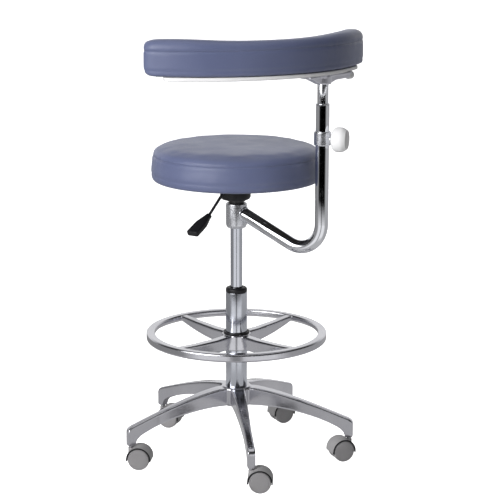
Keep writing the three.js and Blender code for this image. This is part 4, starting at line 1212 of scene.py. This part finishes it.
def bracket():
    """The bracket: a hub on the post, a plate under the tray, and a deep rib out to the knob."""
    plate_low = bracket_high - 5 * MM
    plate = loft(
        "plate",
        [
            [(s, x, z + plate_low + 2.5 * MM) for x, z in rounded_box_ring(w, 5 * MM, 1.2 * MM)]
            for s, w in ((-64 * MM, 22 * MM), (-62 * MM, 30 * MM), (-57 * MM, 34 * MM),
                         (80 * MM, 34 * MM), (85 * MM, 31 * MM), (88 * MM, 24 * MM))
        ],
        place=BRACKET_TURN,
    )
    rib = []
    for s in np.linspace(-56, 88, 40):
        low = plate_low + float(np.interp(s, [-56, -19, 19, 39, 88], [0, -15, -15, -10, -9])) * MM
        ring = rounded_box_ring(18 * MM, plate_low + 3 * MM - low, 2 * MM)
        rib.append([(s * MM, x, z + (plate_low + 3 * MM + low) / 2) for x, z in ring])
    ribs = loft("rib", rib, place=BRACKET_TURN)
    hub_piece = turned(
        "hub_piece",
        [(0, bracket_low), (19 * MM, bracket_low, 2 * MM), (19 * MM, plate_low + 3 * MM),
         (0, plate_low + 3 * MM)],
        POST_PLACE, 72,
    )
    made = cast("rest_arm", 0.8 * MM, 3, plate, ribs, hub_piece)
    post_top = heights("post_tube")[1] + 0.3 * MM
    return drilled(
        made,
        bore(POST_HOLE_R, bracket_low - 5 * MM, post_top, POST_PLACE, 64),
        bore(SMALL_STUD_BORE_R, 67.7 * MM, 95 * MM, REST_KNOB_FRAME, 32),
    )


stands_for(bracket(), "pale_metal", "rest", "rest_bracket")

face = 88.3 * MM
rest_knob = turned(
    "rest_handle",
    [
        (0, 68 * MM), (3 * MM, 68 * MM), (3 * MM, face), (8 * MM, face, 0.8 * MM),
        (9 * MM, face + 3 * MM, 2 * MM), (9 * MM, face + 16 * MM, 3 * MM),
        (5.5 * MM, face + 19 * MM, 2.5 * MM),
        (0, face + 19 * MM),
    ],
    REST_KNOB_FRAME, 64,
)
stands_for(rest_knob, "white_plastic", "rest_knob", "rest_knob")

# ---- CAD pieces that show as they are

SLOTS = {part["node"]: part["material_slot"] for part in frame["record"]["subparts"]}
for node, obj in frame["nodes"].items():
    if not obj.hide_render:
        obj.data.materials.clear()
        obj.data.materials.append(LOOKS[SLOTS[node]])

# ---- floor, light and camera


def floor_look():
    look = Look(
        "studio_floor", Specular_IOR_Level=0.25, Emission_Color=(1, 1, 1, 1),
        Emission_Strength=0.88,
    )
    look.colours(look.noise(2.5, 4), (0.8, 0.8, 0.81), (0.83, 0.83, 0.84))
    look.rough(look.spread(look.noise(6, 4), 0.65, 0.75))
    look.bumps((look.noise(180, 3), 0.05 * MM))
    return look.material


FLOOR_HALF = 30
CLOTH_R = 25
CLOTH_SIDES = 64
NEARBY_GLOW = 0.52


def ground():
    square = ((-1, -1), (1, -1), (1, 1), (-1, 1))
    corners = [(x * FLOOR_HALF, y * FLOOR_HALF, 0) for x, y in square]
    obj = build("studio_ground", corners, [(0, 1, 2, 3)])
    obj.data.materials.append(floor_look())


def glowing_cloth_look():
    """Emitted light for the stool's surroundings, in tones: black far in front, grey at the sides and nearby."""
    look = Look("studio_glowing_cloth", Specular_IOR_Level=0.0, Roughness=1.0, Emission_Strength=1.0)
    look.shader.inputs["Base Color"].default_value = (0, 0, 0, 1)
    x, y, _ = look.parts(look.place)
    bearing = look.maths("ARCTAN2", x, look.maths("MULTIPLY", y, -1.0))
    turned_away = look.maths("ABSOLUTE", bearing)
    reach = look.vectors("LENGTH", look.place)["Value"]
    front = look.spread(reach, 0.95, 0.0, 2.7, 3.3)
    front = look.maths("MULTIPLY", front, look.spread(turned_away, 0.35, 1, 0.09, 0.16))
    sides = look.spread(bearing, 0.3, 0.44, -1.2, 1.2)
    beside = look.spread(turned_away, 0, 1, math.radians(44), math.radians(66))
    nearby = look.spread(reach, 1, 0, 0.55, 0.8)

    def blend(first, second, share):
        kept = look.maths("MULTIPLY", first, look.maths("SUBTRACT", 1.0, share))
        return look.maths("ADD", kept, look.maths("MULTIPLY", second, share))

    tone = blend(blend(front, sides, beside), NEARBY_GLOW, nearby)
    # The tone is emitted light: the disc glows with it.
    look.put(look.shader.inputs["Emission Color"], tone)
    return look.material


def cloth():
    """A glowing disc on the floor, no lamp. Its emitted light lights the stool and shows in its metal, not in the
    view.
    """
    turns = [2 * math.pi * i / CLOTH_SIDES for i in range(CLOTH_SIDES)]
    rim = [(CLOTH_R * math.cos(a), CLOTH_R * math.sin(a), 0) for a in turns]
    made = build("studio_glowing_cloth", rim, [tuple(range(CLOTH_SIDES))])
    made.location = (*COLUMN, 1 * MM)
    made.data.materials.append(glowing_cloth_look())
    made.visible_camera = False
    made.visible_shadow = False


ground()
cloth()


def soft_light(name, where, target, size, power):
    light = bpy.data.lights.new(name, "AREA")
    light.shape = "RECTANGLE"
    light.size, light.size_y = size
    light.energy = power
    obj = linked(name, light)
    obj.location = where
    obj.rotation_euler = (Vector(target) - Vector(where)).to_track_quat("-Z", "Y").to_euler()
    obj.visible_glossy = False


centre = Vector((*COLUMN, 0.75))
soft_light("key_light", (-2.3, -3.0, 2.3), centre, (1.0, 1.4), 118)
soft_light("back_light", (-0.8, 2.6, 2.6), centre, (3.0, 1.4), 26)

WINDOW = Vector((-0.68, -0.68, 0.27)).normalized()


def studio_world():
    """A ceiling light, a bright wall behind the stool, a window and a dim room in front of it."""
    world = bpy.data.worlds.new("studio")
    world.use_nodes = True
    world.node_tree.nodes.clear()
    nodes = Nodes(world.node_tree)
    heading = nodes.add("ShaderNodeTexCoord").outputs["Generated"]
    _, y, z = nodes.parts(heading)
    overhead = nodes.spread(z, 0.0, 1.0, 0.72, 0.95, "SMOOTHSTEP")
    wall = nodes.spread(y, 0.08, 1.15, 0.3, 0.8, "SMOOTHSTEP")
    below_ceiling = nodes.spread(z, 1.0, 0.25, 0.35, 0.62, "SMOOTHSTEP")
    behind = nodes.maths("MULTIPLY", wall, below_ceiling)
    towards_window = nodes.vectors("DOT_PRODUCT", heading, WINDOW)["Value"]
    glow = nodes.spread(towards_window, 0.0, 6.2, 0.86, 0.97, "SMOOTHSTEP")
    total = nodes.maths("ADD", nodes.maths("ADD", overhead, behind), glow)
    lighting = nodes.add("ShaderNodeBackground", Strength=total)
    seen = nodes.add("ShaderNodeBackground", Color=(1, 1, 1, 1))
    mix = nodes.add("ShaderNodeMixShader")
    nodes.put(mix.inputs[0], nodes.add("ShaderNodeLightPath").outputs["Is Camera Ray"])
    nodes.put(mix.inputs[1], lighting.outputs[0])
    nodes.put(mix.inputs[2], seen.outputs[0])
    nodes.add("ShaderNodeOutputWorld", Surface=mix.outputs[0])
    bpy.context.scene.world = world


studio_world()
bpy.context.scene.view_settings.view_transform = "Standard"

FOCAL_PIXELS = 1692.7
FRAME_PIXELS = 500
CAMERA_DISTANCE = 3.835
CAMERA_HEIGHT = 1.339
CAMERA_PITCH = 12.79
camera_data = bpy.data.cameras.new("camera")
camera_data.sensor_width = 36
camera_data.lens = FOCAL_PIXELS / FRAME_PIXELS * 36
camera_data.shift_x = 0.0271
camera_data.shift_y = 0.0186
camera_data.clip_end = 100
camera = linked("camera", camera_data)
camera.location = (COLUMN.x, COLUMN.y - CAMERA_DISTANCE, CAMERA_HEIGHT)
camera.rotation_euler = (math.radians(90 - CAMERA_PITCH), 0, 0)
bpy.context.scene.camera = camera
